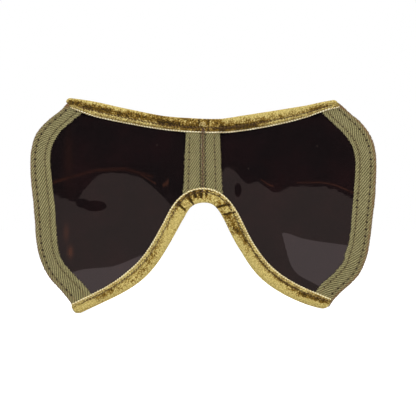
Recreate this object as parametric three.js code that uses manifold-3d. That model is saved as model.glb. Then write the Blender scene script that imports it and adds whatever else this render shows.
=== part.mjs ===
// Folding dust goggles: two tinted sheet lenses bound in folded twill tape and folded velvet ribbon,
// joined along a sewn fold between the eyes. Millimetres, +Z up, the front faces -Y, +X is to the right
// as seen from the front. The origin is the top of the nose arch, on the fold, at mid thickness.
import * as THREE from 'three';
import { mergeVertices } from 'three/addons/utils/BufferGeometryUtils.js';
import Module from 'manifold-3d';

// Outline of one half, as x outward from the fold and z up from the nose arch
const HALF_WIDTH = 86.25;
const WIDEST_Z = 19;
const BROW_CENTRE_Z = 42;
const BROW_CENTRE_HANDLE = 24;
const BROW_CORNER_INSET = 20;
const BROW_CORNER_Z = 51.5;
const BROW_CORNER_HANDLE = 21.6;
const BROW_CORNER_SLOPE_DEG = 5.3;
const TEMPLE_SLOPE_DEG = 40.8;
const TEMPLE_HANDLE = 21.1;
const SIDE_UPPER_HANDLE = 14;
const SIDE_LOWER_HANDLE = 11;
const CHEEK_BEND_INSET = 4.05;
const CHEEK_BEND_Z = -25.5;
const CHEEK_BEND_LEAN_DEG = 14;
const CHEEK_BEND_UPPER_HANDLE = 10;
const CHEEK_BEND_LOWER_HANDLE = 13;
const SIDE_END_INSET = 20.75;
const SIDE_END_Z = -49.5;
const SIDE_END_LEAN_DEG = 34;
const SIDE_END_HANDLE = 10;
const ARCH_HANDLE = 9.2;
const FLANK_X = 18;
const FLANK_Z = -22.5;
const FLANK_LEAN_DEG = 30.7;
const FLANK_UPPER_HANDLE = 11;
const FLANK_LOWER_HANDLE = 22;
const TIP_INSET = 23.75;
const TIP_Z = -54.8;
const TIP_SLOPE_DEG = 24.8;
const TIP_HANDLE = 28;

// Lens sheet
const LENS_THICKNESS = 0.8;

// Twill tape, folded over the lens's side edge and over its edge beside the fold
const TAPE_THICKNESS = 0.8;
const SIDE_TAPE_LEG = 10.5;
const INNER_TAPE_LEG = 9.25;
const TAPE_FOLD_ROUND = 0.7;

// Velvet ribbon, folded over the top edge and over the lower edge
const BROW_VELVET_WIDTH = 7.4;
const BROW_VELVET_END_WIDTH = 4;
const BROW_VELVET_TAPER = 15;
const CHEEK_VELVET_WIDTH = 7.6;
const BRIDGE_VELVET_WIDTH = 6.6;
const BRIDGE_VELVET_SPREAD = 16;
const VELVET_ROLL_DEPTH = 2.2;
const VELVET_SLOT_EASE = 9;
const VELVET_EDGE_HALF = 0.9;
const VELVET_CROWN = 1.2;
const VELVET_CHANNEL = 0.6;
const VELVET_CHANNEL_WIDTH = 1.4;
const VELVET_LIP = 0.85;
const VELVET_LIP_WIDTH = 1.1;
const VELVET_SELVEDGE = 0.6;
const CREASE_PLACES = [6.2, 12.6];
const CREASE_DEPTH = 0.5;
const CREASE_WIDTH = 1.1;

// Stitching
const STITCH_THREAD_RADIUS = 0.25;
const SIDE_OUTER_ROW = 2.5;
const SIDE_INNER_ROW_MARGIN = 2.2;
const INNER_ROW_MARGIN = 2.25;
const VELVET_ROW_MARGIN = 2.7;
const VELVET_ROW_START = 9;
const VELVET_ROW_END_MARGIN = 3;
const SEAM_THREAD_RADIUS = 0.6;
const SEAM_THREAD_TOP_OVERLAP = 4;

// Fold between the two halves
const FOLD_FORWARD_DEG = 160;
const FOLD_BACK_DEG = 35;
const FOLD_MARGIN_DEG = 1;
const FOLD_PROUD = 0.2;

// Clearances
const LAYER_GAP = 0.1;
const EDGE_GAP = 0.3;
const THREAD_GAP = 0.1;

// Spacing of the sections along the edges
const VELVET_STEP = 4.5;
const VELVET_FINE_STEP = 1.2;
const VELVET_FINE_REACH = 15;
const TAPE_STEP = 6;
const OUTLINE_STEP = 3;
const ROLL_FACETS = 4;
const THREAD_SIDES = 4;
const SEAM_THREAD_SIDES = 10;
const STRAIGHT_RUN_OUT = 45;
const VELVET_OVERRUN = 10;
const FAR = 200;

// Values that follow from those above
const LENS_HALF = LENS_THICKNESS / 2;
const TAPE_SLOT_HALF = LENS_HALF + LAYER_GAP;
const TAPE_HALF = TAPE_SLOT_HALF + TAPE_THICKNESS;
const VELVET_SLOT_OVER_TAPE = TAPE_HALF + LAYER_GAP;
const VELVET_SLOT_OVER_LENS = LENS_HALF + LAYER_GAP;
const VELVET_EDGE_INSET = VELVET_ROLL_DEPTH + EDGE_GAP;
const LENS_SIDE_INSET = TAPE_THICKNESS + EDGE_GAP;
const SEAM_Y = -(TAPE_HALF + FOLD_PROUD);
const FOLD_HALF_GAP = SEAM_THREAD_RADIUS + THREAD_GAP;
const GROOVE_DEPTH = 2 * STITCH_THREAD_RADIUS + THREAD_GAP;
const GROOVE_HALF = GROOVE_DEPTH;
const SIDE_INNER_ROW = SIDE_TAPE_LEG - SIDE_INNER_ROW_MARGIN;
const INNER_ROW = INNER_TAPE_LEG - INNER_ROW_MARGIN;

// Which way each face looks along y
const FACES = { front: -1, back: 1 };

// Finishes
const LENS_FINISH = { color: 0x1b1413, roughness: 0.08, metalness: 0 };
const TAPE_FINISH = { color: 0x87835d, roughness: 0.9, metalness: 0 };
const VELVET_FINISH = { color: 0xb69d5e, roughness: 0.85, metalness: 0 };
const STITCH_FINISH = { color: 0x6e6748, roughness: 0.8, metalness: 0 };
const SEAM_FINISH = { color: 0x5f4e3a, roughness: 0.85, metalness: 0 };

const wasm = await Module();
wasm.setup();

const radians = THREE.MathUtils.degToRad;

function point(x, z) {
  return new THREE.Vector2(x, z);
}

// A heading measured down from the outward direction, as a unit vector.
function downFromOutward(degrees) {
  return point(Math.cos(radians(degrees)), -Math.sin(radians(degrees)));
}

function bezier(start, startHandle, endHandle, end) {
  return new THREE.CubicBezierCurve(start, startHandle, endHandle, end);
}

function along(from, heading, distance) {
  return from.clone().addScaledVector(heading, distance);
}

// One bound edge of a half: its curve, and which side of it the lens lies on.
class Edge {
  constructor(curves, turn, inward, runsPastStart) {
    const first = curves[0];
    const last = curves.at(-1);
    const end = last.getPoint(1);
    const runOut = new THREE.LineCurve(end, along(end, last.getTangent(1), STRAIGHT_RUN_OUT));
    const start = first.getPoint(0);
    const runIn = new THREE.LineCurve(along(start, first.getTangent(0), -STRAIGHT_RUN_OUT), start);
    this.path = new THREE.CurvePath();
    this.path.curves = runsPastStart ? [runIn, ...curves, runOut] : [...curves, runOut];
    this.length = this.path.getLength();
    this.turn = turn;
    this.inward = inward;
  }

  // The place at a distance along the edge, and the direction in towards the lens there.
  frameAt(distance) {
    const share = THREE.MathUtils.clamp(distance / this.length, 0, 1);
    const tangent = this.path.getTangent(share);
    const normal = point(tangent.y, -tangent.x).multiplyScalar(this.turn);
    return { place: this.path.getPoint(share), normal };
  }

  insetPoint(distance, inset) {
    const { place, normal } = this.frameAt(distance);
    return along(place, normal, inset);
  }

  // Everything on the lens's side of the edge moved in by an inset, as a prism through the thickness.
  inside(inset) {
    const outline = stops(0, this.length, OUTLINE_STEP).map((stop) => this.insetPoint(stop, inset));
    outline.push(along(outline.at(-1), this.inward, FAR));
    outline.push(along(outline[0], this.inward, FAR));
    return solid(slab(outline, FAR));
  }

  distanceTo(place) {
    const places = stops(0, this.length, OUTLINE_STEP).map((stop) => this.insetPoint(stop, 0));
    return Math.min(...places.map((other) => other.distanceTo(place)));
  }
}

// Evenly spaced distances from one place to another.
function stops(from, to, step) {
  const count = Math.max(1, Math.ceil((to - from) / step));
  return Array.from({ length: count + 1 }, (_, i) => from + ((to - from) * i) / count);
}

function browEdge() {
  const centre = point(0, BROW_CENTRE_Z);
  const corner = point(HALF_WIDTH - BROW_CORNER_INSET, BROW_CORNER_Z);
  const centreHandle = point(BROW_CENTRE_HANDLE, BROW_CENTRE_Z);
  const rise = point(Math.cos(radians(BROW_CORNER_SLOPE_DEG)), Math.sin(radians(BROW_CORNER_SLOPE_DEG)));
  const cornerHandle = along(corner, rise, -BROW_CORNER_HANDLE);
  return new Edge([bezier(centre, centreHandle, cornerHandle, corner)], 1, point(0, -1), false);
}

function sideEdge() {
  const corner = point(HALF_WIDTH - BROW_CORNER_INSET, BROW_CORNER_Z);
  const widest = point(HALF_WIDTH, WIDEST_Z);
  const bend = point(HALF_WIDTH - CHEEK_BEND_INSET, CHEEK_BEND_Z);
  const end = point(HALF_WIDTH - SIDE_END_INSET, SIDE_END_Z);
  const temple = downFromOutward(TEMPLE_SLOPE_DEG);
  const bendHeading = downFromOutward(90 + CHEEK_BEND_LEAN_DEG);
  const endHeading = downFromOutward(90 + SIDE_END_LEAN_DEG);
  const down = point(0, -1);
  const upper = bezier(
    corner,
    along(corner, temple, TEMPLE_HANDLE),
    along(widest, down, -SIDE_UPPER_HANDLE),
    widest,
  );
  const middle = bezier(
    widest,
    along(widest, down, SIDE_LOWER_HANDLE),
    along(bend, bendHeading, -CHEEK_BEND_UPPER_HANDLE),
    bend,
  );
  const lower = bezier(
    bend,
    along(bend, bendHeading, CHEEK_BEND_LOWER_HANDLE),
    along(end, endHeading, -SIDE_END_HANDLE),
    end,
  );
  return new Edge([upper, middle, lower], 1, point(-1, 0), true);
}

function cheekEdge() {
  const apex = point(0, 0);
  const flank = point(FLANK_X, FLANK_Z);
  const tip = point(HALF_WIDTH - TIP_INSET, TIP_Z);
  const flankHeading = downFromOutward(90 - FLANK_LEAN_DEG);
  const tipHeading = downFromOutward(TIP_SLOPE_DEG);
  const arch = bezier(
    apex,
    point(ARCH_HANDLE, 0),
    along(flank, flankHeading, -FLANK_UPPER_HANDLE),
    flank,
  );
  const cheek = bezier(
    flank,
    along(flank, flankHeading, FLANK_LOWER_HANDLE),
    along(tip, tipHeading, -TIP_HANDLE),
    tip,
  );
  return new Edge([arch, cheek], -1, point(0, 1), false);
}

// The fold as a straight edge from the brow down to the nose arch.
function foldEdge() {
  const top = point(FOLD_HALF_GAP, BROW_CENTRE_Z);
  const foot = point(FOLD_HALF_GAP, 0);
  return new Edge([new THREE.LineCurve(top, foot)], -1, point(1, 0), true);
}

function solid(geometry) {
  geometry.deleteAttribute('normal');
  geometry.deleteAttribute('uv');
  const merged = mergeVertices(geometry);
  const vertProperties = new Float32Array(merged.attributes.position.array);
  const triVerts = new Uint32Array(merged.index.array);
  return new wasm.Manifold(new wasm.Mesh({ numProp: 3, vertProperties, triVerts }));
}

function geometryOf(body) {
  const mesh = body.getMesh();
  const geometry = new THREE.BufferGeometry();
  geometry.setAttribute('position', new THREE.BufferAttribute(new Float32Array(mesh.vertProperties), 3));
  geometry.setIndex(new THREE.BufferAttribute(new Uint32Array(mesh.triVerts), 1));
  return geometry;
}

// An outline in x and z, extruded evenly to both sides of the middle plane.
function slab(outline, thickness) {
  const settings = { depth: thickness, bevelEnabled: false };
  const geometry = new THREE.ExtrudeGeometry(new THREE.Shape(outline), settings);
  geometry.rotateX(Math.PI / 2);
  geometry.translate(0, thickness / 2, 0);
  return geometry;
}

function signedArea(a, b, c) {
  return (b.x - a.x) * (c.y - a.y) - (c.x - a.x) * (b.y - a.y);
}

// Triangles that fill a section, all turning the way that the section itself turns.
function sectionFaces(section) {
  const turns = Math.sign(THREE.ShapeUtils.area(section));
  return THREE.ShapeUtils.triangulateShape(section, []).map(([a, b, c]) => {
    const same = signedArea(section[a], section[b], section[c]) * turns > 0;
    return same ? [a, b, c] : [a, c, b];
  });
}

function enclosedVolume(positions, index) {
  const corner = (i) => new THREE.Vector3().fromArray(positions, 3 * index[i]);
  let volume = 0;
  for (let i = 0; i < index.length; i += 3) {
    volume += corner(i).dot(corner(i + 1).cross(corner(i + 2))) / 6;
  }
  return volume;
}

// A closed solid through sections set along an edge. A section has u in from the edge and v through it.
function loft(edge, distances, sectionAt) {
  const sections = distances.map(sectionAt);
  const ring = sections[0].length;
  const positions = [];
  distances.forEach((distance, i) => {
    const { place, normal } = edge.frameAt(distance);
    sections[i].forEach(({ x: u, y: v }) => {
      positions.push(place.x + normal.x * u, v, place.y + normal.y * u);
    });
  });
  const index = [];
  for (let i = 0; i < distances.length - 1; i += 1) {
    for (let j = 0; j < ring; j += 1) {
      const here = i * ring + j;
      const beside = i * ring + ((j + 1) % ring);
      index.push(here, beside, here + ring, beside, beside + ring, here + ring);
    }
  }
  const last = (distances.length - 1) * ring;
  sectionFaces(sections[0]).forEach(([a, b, c]) => index.push(c, b, a));
  sectionFaces(sections.at(-1)).forEach(([a, b, c]) => index.push(last + a, last + b, last + c));
  const facing = enclosedVolume(positions, index) > 0 ? index : index.reverse();
  const geometry = new THREE.BufferGeometry();
  geometry.setAttribute('position', new THREE.Float32BufferAttribute(positions, 3));
  geometry.setIndex(facing);
  return solid(geometry);
}

// A section given by its back half, from the edge in to the slot's closed end, mirrored to the front.
function foldedSection(half) {
  const back = half.map(([u, v]) => point(u, v));
  const front = half.map(([u, v]) => point(u, -v)).reverse();
  return [...back, ...front];
}

// The dent that a row of stitching draws into the tape.
function groove(row) {
  return [
    [row - GROOVE_HALF, TAPE_HALF],
    [row, TAPE_HALF - GROOVE_DEPTH],
    [row + GROOVE_HALF, TAPE_HALF],
  ];
}

function tapeSection(leg, rows) {
  return foldedSection([
    [0, TAPE_HALF - TAPE_FOLD_ROUND],
    [TAPE_FOLD_ROUND * (1 - Math.SQRT1_2), TAPE_HALF - TAPE_FOLD_ROUND * (1 - Math.SQRT1_2)],
    [TAPE_FOLD_ROUND, TAPE_HALF],
    ...rows.flatMap(groove),
    [leg, TAPE_HALF],
    [leg, TAPE_SLOT_HALF],
    [TAPE_THICKNESS, TAPE_SLOT_HALF],
  ]);
}

// Velvet section: a plump roll at the edge, a sewn channel, a low lip and a thin selvedge at the lens.
function velvetSection(width, narrowing, slotHalf, crease) {
  const face = VELVET_SLOT_OVER_TAPE;
  const row = velvetRow(width, narrowing);
  const channelHalf = (VELVET_CHANNEL_WIDTH * narrowing) / 2;
  const lipWidth = VELVET_LIP_WIDTH * narrowing;
  const channel = face + VELVET_CHANNEL;
  const bulge = face + VELVET_CROWN - crease - (VELVET_EDGE_HALF + channel) / 2;
  const rollPoints = stops(0, Math.PI, Math.PI / ROLL_FACETS).map((angle) => {
    const share = (1 - Math.cos(angle)) / 2;
    const base = THREE.MathUtils.lerp(VELVET_EDGE_HALF, channel, share);
    return [share * (row - channelHalf), base + bulge * Math.sin(angle)];
  });
  return foldedSection([
    ...rollPoints,
    [row + channelHalf, channel],
    [width - lipWidth, face + VELVET_LIP],
    [width, slotHalf + VELVET_SELVEDGE],
    [width, slotHalf],
    [VELVET_ROLL_DEPTH, slotHalf],
  ]);
}

function threadSection(row, depth) {
  return Array.from({ length: THREAD_SIDES }, (_, i) => {
    const angle = (2 * Math.PI * i) / THREAD_SIDES;
    const rim = point(Math.cos(angle), Math.sin(angle)).multiplyScalar(STITCH_THREAD_RADIUS);
    return rim.add(point(row, depth));
  });
}

// The space that one half may fill beside the fold, so that it stays clear of the other half when the
// goggles fold forward or wrap back. It turns about the seam.
function foldSpace() {
  const forward = radians((180 - FOLD_FORWARD_DEG) / 2 - FOLD_MARGIN_DEG);
  const back = radians(90 - FOLD_BACK_DEG / 2 - FOLD_MARGIN_DEG);
  const outline = [
    point(FOLD_HALF_GAP, SEAM_Y - FOLD_HALF_GAP * Math.tan(forward)),
    point(FAR, SEAM_Y - FAR * Math.tan(forward)),
    point(FAR, FAR),
    point((FAR - SEAM_Y) / Math.tan(back), FAR),
    point(FOLD_HALF_GAP, SEAM_Y + FOLD_HALF_GAP * Math.tan(back)),
  ];
  const settings = { depth: 2 * FAR, bevelEnabled: false };
  const geometry = new THREE.ExtrudeGeometry(new THREE.Shape(outline), settings);
  geometry.translate(0, 0, -FAR);
  return solid(geometry);
}

const brow = browEdge();
const side = sideEdge();
const cheek = cheekEdge();
const fold = foldEdge();
const besideFold = foldSpace();
const insideSide = side.inside(0);
const underBrow = brow.inside(VELVET_EDGE_INSET);
const underCheek = cheek.inside(VELVET_EDGE_INSET);

function browWidth(distance) {
  const end = brow.length - STRAIGHT_RUN_OUT;
  const share = THREE.MathUtils.smoothstep(distance, end - BROW_VELVET_TAPER, end);
  return THREE.MathUtils.lerp(BROW_VELVET_WIDTH, BROW_VELVET_END_WIDTH, share);
}

function cheekWidth(distance) {
  const share = THREE.MathUtils.smoothstep(distance, 0, BRIDGE_VELVET_SPREAD);
  return THREE.MathUtils.lerp(BRIDGE_VELVET_WIDTH, CHEEK_VELVET_WIDTH, share);
}

// The sewn row's distance in from the edge, where the ribbon is narrowed to a share of its full width.
function velvetRow(width, narrowing) {
  return width - VELVET_ROW_MARGIN * narrowing;
}

function creaseAt(distance) {
  const dips = CREASE_PLACES.map((place) => Math.exp(-(((distance - place) / CREASE_WIDTH) ** 2)));
  return CREASE_DEPTH * Math.max(...dips);
}

// How far a place lies from the nearest tape, which is zero or less on the tape.
function clearOfTape(place) {
  return Math.min(side.distanceTo(place) - SIDE_TAPE_LEG, place.x - FOLD_HALF_GAP - INNER_TAPE_LEG);
}

// The velvet's slot is wide where it covers tape as well as lens, and closes on the lens between.
function velvetSlot(edge, distance, width) {
  const places = [VELVET_ROLL_DEPTH, width].map((inset) => edge.insetPoint(distance, inset));
  const clear = Math.min(...places.map(clearOfTape));
  const share = THREE.MathUtils.smoothstep(clear, VELVET_STEP, VELVET_STEP + VELVET_SLOT_EASE);
  return THREE.MathUtils.lerp(VELVET_SLOT_OVER_TAPE, VELVET_SLOT_OVER_LENS, share);
}

function velvet(edge, widthAt, fullWidth, creased) {
  const distances = [
    ...stops(0, VELVET_FINE_REACH, VELVET_FINE_STEP),
    ...stops(VELVET_FINE_REACH, edge.length - STRAIGHT_RUN_OUT + VELVET_OVERRUN, VELVET_STEP).slice(1),
  ];
  const strip = loft(edge, distances, (distance) => {
    const width = widthAt(distance);
    const crease = creased ? creaseAt(distance) : 0;
    return velvetSection(width, width / fullWidth, velvetSlot(edge, distance, width), crease);
  });
  return strip.intersect(insideSide).intersect(besideFold);
}

function lens() {
  const sheet = slab(
    [
      point(FOLD_HALF_GAP + LENS_SIDE_INSET, -FAR),
      point(FAR, -FAR),
      point(FAR, FAR),
      point(FOLD_HALF_GAP + LENS_SIDE_INSET, FAR),
    ],
    LENS_THICKNESS,
  );
  return solid(sheet).intersect(side.inside(LENS_SIDE_INSET)).intersect(underBrow).intersect(underCheek);
}

function sideTape() {
  const section = tapeSection(SIDE_TAPE_LEG, [SIDE_OUTER_ROW, SIDE_INNER_ROW]);
  const strip = loft(side, stops(0, side.length, TAPE_STEP), () => section);
  return strip.intersect(underBrow).intersect(underCheek);
}

function innerTape() {
  const section = tapeSection(INNER_TAPE_LEG, [INNER_ROW]);
  const strip = loft(fold, [0, fold.length], () => section);
  return strip.intersect(underBrow).intersect(underCheek).intersect(besideFold);
}

// A thread sunk in a tape's groove, from one velvet ribbon to the other.
function tapeThread(edge, row, sign) {
  const depth = sign * (TAPE_HALF - STITCH_THREAD_RADIUS);
  const distances = edge === fold ? [0, edge.length] : stops(0, edge.length, TAPE_STEP);
  const run = loft(edge, distances, () => threadSection(row, depth));
  const browLimit = brow.inside(BROW_VELVET_WIDTH + EDGE_GAP);
  const cheekLimit = cheek.inside(CHEEK_VELVET_WIDTH + EDGE_GAP);
  return run.intersect(browLimit).intersect(cheekLimit);
}

// A thread lying in a velvet ribbon's sewn channel.
function velvetThread(edge, widthAt, fullWidth, sign) {
  const rise = VELVET_SLOT_OVER_TAPE + VELVET_CHANNEL + THREAD_GAP + STITCH_THREAD_RADIUS;
  const end = edge.length - STRAIGHT_RUN_OUT - VELVET_ROW_END_MARGIN;
  return loft(edge, stops(VELVET_ROW_START, end, VELVET_STEP), (distance) => {
    const width = widthAt(distance);
    return threadSection(velvetRow(width, width / fullWidth), sign * rise);
  });
}

function seamThread() {
  const top = BROW_CENTRE_Z - BROW_VELVET_WIDTH + SEAM_THREAD_TOP_OVERLAP;
  const length = top - BRIDGE_VELVET_WIDTH;
  const radius = SEAM_THREAD_RADIUS;
  const geometry = new THREE.CylinderGeometry(radius, radius, length, SEAM_THREAD_SIDES);
  geometry.rotateX(Math.PI / 2);
  geometry.translate(0, SEAM_Y, top - length / 2);
  return geometryOf(solid(geometry));
}

// The same piece for the other half, with its faces still turned outward.
function mirrored(geometry) {
  const copy = geometry.clone();
  copy.scale(-1, 1, 1);
  copy.index.array.reverse();
  return copy;
}

function piece(name, geometry, finish) {
  const mesh = new THREE.Mesh(geometry, new THREE.MeshStandardMaterial(finish));
  mesh.name = name;
  return mesh;
}

const halfPieces = [
  ['lens', lens(), LENS_FINISH],
  ['side_tape', sideTape(), TAPE_FINISH],
  ['inner_tape', innerTape(), TAPE_FINISH],
  ['brow_velvet', velvet(brow, browWidth, BROW_VELVET_WIDTH, false), VELVET_FINISH],
  ['cheek_velvet', velvet(cheek, cheekWidth, CHEEK_VELVET_WIDTH, true), VELVET_FINISH],
];
for (const [face, sign] of Object.entries(FACES)) {
  halfPieces.push(
    [`side_outer_${face}_thread`, tapeThread(side, SIDE_OUTER_ROW, sign), STITCH_FINISH],
    [`side_inner_${face}_thread`, tapeThread(side, SIDE_INNER_ROW, sign), STITCH_FINISH],
    [`inner_tape_${face}_thread`, tapeThread(fold, INNER_ROW, sign), STITCH_FINISH],
    [`brow_${face}_thread`, velvetThread(brow, browWidth, BROW_VELVET_WIDTH, sign), STITCH_FINISH],
    [`cheek_${face}_thread`, velvetThread(cheek, cheekWidth, CHEEK_VELVET_WIDTH, sign), STITCH_FINISH],
  );
}

const goggles = new THREE.Group();
const leftHalf = new THREE.Group();
const rightHalf = new THREE.Group();
for (const [name, body, finish] of halfPieces) {
  const geometry = geometryOf(body);
  rightHalf.add(piece(`right_${name}`, geometry, finish));
  leftHalf.add(piece(`left_${name}`, mirrored(geometry), finish));
}
goggles.add(leftHalf, rightHalf, piece('fold_seam_thread', seamThread(), SEAM_FINISH));

export default goggles;
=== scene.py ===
"""Folding dust goggles: tinted sheet lenses bound in twill tape and velvet ribbon, sewn along a middle fold.

Lengths in the dataclasses are millimetres and become metres where meshes are made. The front faces -Y, +X is
to the right as seen from the front, +Z is up, and the origin is the top of the nose arch on the fold.
"""

import logging
import math
from collections.abc import Sequence
from dataclasses import dataclass, field
from enum import Enum
from functools import cache

import bmesh
import bpy
import numpy as np
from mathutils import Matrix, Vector, noise
from mathutils.geometry import delaunay_2d_cdt


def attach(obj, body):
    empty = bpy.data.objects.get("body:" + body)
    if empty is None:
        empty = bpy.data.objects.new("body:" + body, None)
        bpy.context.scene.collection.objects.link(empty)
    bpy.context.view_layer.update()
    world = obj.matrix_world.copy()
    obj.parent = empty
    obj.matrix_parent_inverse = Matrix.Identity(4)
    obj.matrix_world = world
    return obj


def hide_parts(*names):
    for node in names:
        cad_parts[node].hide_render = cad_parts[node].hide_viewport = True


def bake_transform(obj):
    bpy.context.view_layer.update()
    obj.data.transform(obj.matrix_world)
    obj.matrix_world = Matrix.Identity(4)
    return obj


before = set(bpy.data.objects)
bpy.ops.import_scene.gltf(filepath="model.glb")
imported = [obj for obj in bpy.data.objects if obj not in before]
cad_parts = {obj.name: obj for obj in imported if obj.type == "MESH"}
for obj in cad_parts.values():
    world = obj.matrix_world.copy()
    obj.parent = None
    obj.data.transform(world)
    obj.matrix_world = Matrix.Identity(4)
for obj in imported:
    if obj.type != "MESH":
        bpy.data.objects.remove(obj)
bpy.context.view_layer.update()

MM = 0.001
CLOTH = "cloth"
# Attribute of pressed nap plus painted light on the velvet: painted highlight on the roll's crown, painted shade
# towards the channel, along streaks and in creases.
PAINTED_LIGHT_AND_NAP = "hollow"
# Attribute of wear along a tape's fold plus painted shade along its stitch rows and beside its hem.
WEAR_AND_SHADE = "worn"
# Attribute of painted reflection on the lenses: warm glints and streaks.
PAINTED_REFLECTION = "warm"
LOG = logging.getLogger("goggles")
LINE_REACH = 130.0
LINE_STEP = 0.5
CURVE_POINTS = 160
RUN_PAST = 30.0
RUN_STEP = 1.0
PROBE = 0.2
GAP_STRIDE = 4
HOLE_DEPTH = 0.2
NOISE_STEPS = (7.13, 3.71, 5.37)
THREAD_UP = (0.31, 0.87, 0.38)

Knots = tuple[tuple[float, float], ...]
Colour = tuple[float, float, float, float]
Span = tuple[float, float]
Patch = tuple[float, float, float]


class Half(Enum):
    """Which half of the goggles, as seen from the front, with the sign of its x."""

    LEFT = -1
    RIGHT = 1

    @property
    def side(self) -> str:
        """The half's word in node names."""
        return self.name.lower()

    @property
    def body(self) -> str:
        """The CAD body that the half's pieces ride on."""
        return f"{self.side}_half"


class Face(Enum):
    """Which face of the goggles, with the sign of its y."""

    FRONT = -1
    BACK = 1

    @property
    def word(self) -> str:
        """The face's word in node names."""
        return self.name.lower()


def smoothstep(value: np.ndarray, low: float, high: float) -> np.ndarray:
    """Smooth ramp from 0 at low to 1 at high.

    Args:
        value: Where the ramp is read.
        low: Where it starts.
        high: Where it ends.

    Returns:
        The ramp's value at each place.
    """
    share = np.clip((np.asarray(value, float) - low) / (high - low), 0, 1)
    return share * share * (3 - 2 * share)


def mix(low: np.ndarray, high: np.ndarray, share: np.ndarray) -> np.ndarray:
    """Linear blend from low to high."""
    return low + (high - low) * share


def bump_at(value: np.ndarray, centre: float, spread: float) -> np.ndarray:
    """Bell curve of height 1 about a centre."""
    return np.exp(-(((np.asarray(value, float) - centre) / spread) ** 2))


def soften(values: np.ndarray, span: int, spread: float) -> np.ndarray:
    """Rounds off evenly spaced values.

    Args:
        values: The values.
        span: How many neighbours to each side count.
        spread: How fast they count less, in values.

    Returns:
        The rounded values.
    """
    bell = bump_at(np.arange(-span, span + 1), 0, spread)
    return np.convolve(np.pad(values, span, mode="edge"), bell / bell.sum(), mode="valid")


def smooth_line(knots: Knots, x: np.ndarray) -> np.ndarray:
    """Heights at x of a smooth line through knots."""
    run = np.arange(-LINE_REACH, LINE_REACH, LINE_STEP)
    return np.interp(x, run, soften(np.interp(run, *np.array(knots).T), span=6, spread=2.4))


def rough(points: np.ndarray, scale: float, seed: float) -> np.ndarray:
    """Smooth noise over points.

    Args:
        points: Places in millimetres, one row each.
        scale: Size of the noise's features in millimetres.
        seed: Moves the pattern, so that pieces differ.

    Returns:
        A value from about -1 to 1 for each point.
    """
    offset = Vector([seed * step for step in NOISE_STEPS])
    return np.array([noise.noise(Vector(p) / scale + offset) for p in points])


def cubic(start: Sequence[float], first: Sequence[float], second: Sequence[float], end: Sequence[float]) -> np.ndarray:
    """Points along a cubic curve with two handles.

    Args:
        start: First end, as x and z.
        first: Handle of the first end.
        second: Handle of the second end.
        end: Second end.

    Returns:
        Points as an array of x and z.
    """
    t = np.linspace(0, 1, CURVE_POINTS)[:, None]
    a, b, c, d = (np.array(p, float) for p in (start, first, second, end))
    return (1 - t) ** 3 * a + 3 * t * (1 - t) ** 2 * b + 3 * t * t * (1 - t) * c + t**3 * d


class EdgeLine:
    """A bound edge of one half, measured by the distance along it. A negative distance is on the other half."""

    def __init__(self, curves: Sequence[np.ndarray], turn: int, run_in: float = 0.0, run_out: float = 40.0) -> None:
        """Joins curves and adds straight runs before the first one and past the last one.

        Args:
            curves: Curves from end to end, each as points of x and z.
            turn: 1 where the lens lies to the right of the way along, and -1 to the left.
            run_in: Length of the straight run before the curves, which the distance counts from.
            run_out: Length of the straight run past them.
        """
        points = np.concatenate([curves[0], *[c[1:] for c in curves[1:]]])
        leaving, heading = points[0] - points[1], points[-1] - points[-2]
        if run_in > 0:
            points = np.concatenate([[points[0] + leaving / np.linalg.norm(leaving) * run_in], points])
        heading = heading / np.linalg.norm(heading)
        self.length = float(np.linalg.norm(np.diff(points, axis=0), axis=1).sum())
        self.points = np.concatenate([points, [points[-1] + heading * run_out]])
        steps = np.linalg.norm(np.diff(self.points, axis=0), axis=1)
        self.distances = np.concatenate([[0.0], np.cumsum(steps)])
        self.turn = turn

    def at(self, distance: np.ndarray) -> tuple[np.ndarray, np.ndarray]:
        """Places along the edge and the directions in towards the lens.

        Args:
            distance: Distances along the edge.

        Returns:
            Places and inward directions, as arrays of x and z.
        """
        flip = np.where(np.asarray(distance) < 0, -1.0, 1.0)
        reach = np.abs(distance)
        ahead, behind = self.read(reach + PROBE), self.read(np.maximum(reach - PROBE, 0))
        tangent = ahead - behind
        tangent /= np.linalg.norm(tangent, axis=1)[:, None]
        normal = self.turn * np.stack([tangent[:, 1], -tangent[:, 0]], axis=1)
        place = self.read(reach)
        place[:, 0] *= flip
        normal[:, 0] *= flip
        return place, normal

    def read(self, distance: np.ndarray) -> np.ndarray:
        """Points at distances of zero or more."""
        return np.stack([np.interp(distance, self.distances, self.points[:, i]) for i in (0, 1)], axis=1)

    def gap(self, places: np.ndarray) -> np.ndarray:
        """How far each place of x and z lies from the edge, with x taken outward."""
        folded = np.stack([np.abs(places[:, 0]), places[:, 1]], axis=1)
        nearest = np.full(len(folded), np.inf)
        for point in self.points[:-1:GAP_STRIDE]:
            nearest = np.minimum(nearest, np.linalg.norm(folded - point, axis=1))
        return nearest

    def run(self, step: float = RUN_STEP) -> tuple[np.ndarray, np.ndarray]:
        """Evenly spaced places along the whole edge and a little past it, with the directions inward."""
        return self.at(np.arange(0, self.length + RUN_PAST, step))

    def holds(self, spots: np.ndarray) -> np.ndarray:
        """Which spots of x and z lie on the lens's side of the edge."""
        place, normal = self.run()
        nearest = np.argmin(((spots[:, None] - place[None]) ** 2).sum(2), axis=1)
        return ((spots - place[nearest]) * normal[nearest]).sum(1) > 0


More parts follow.
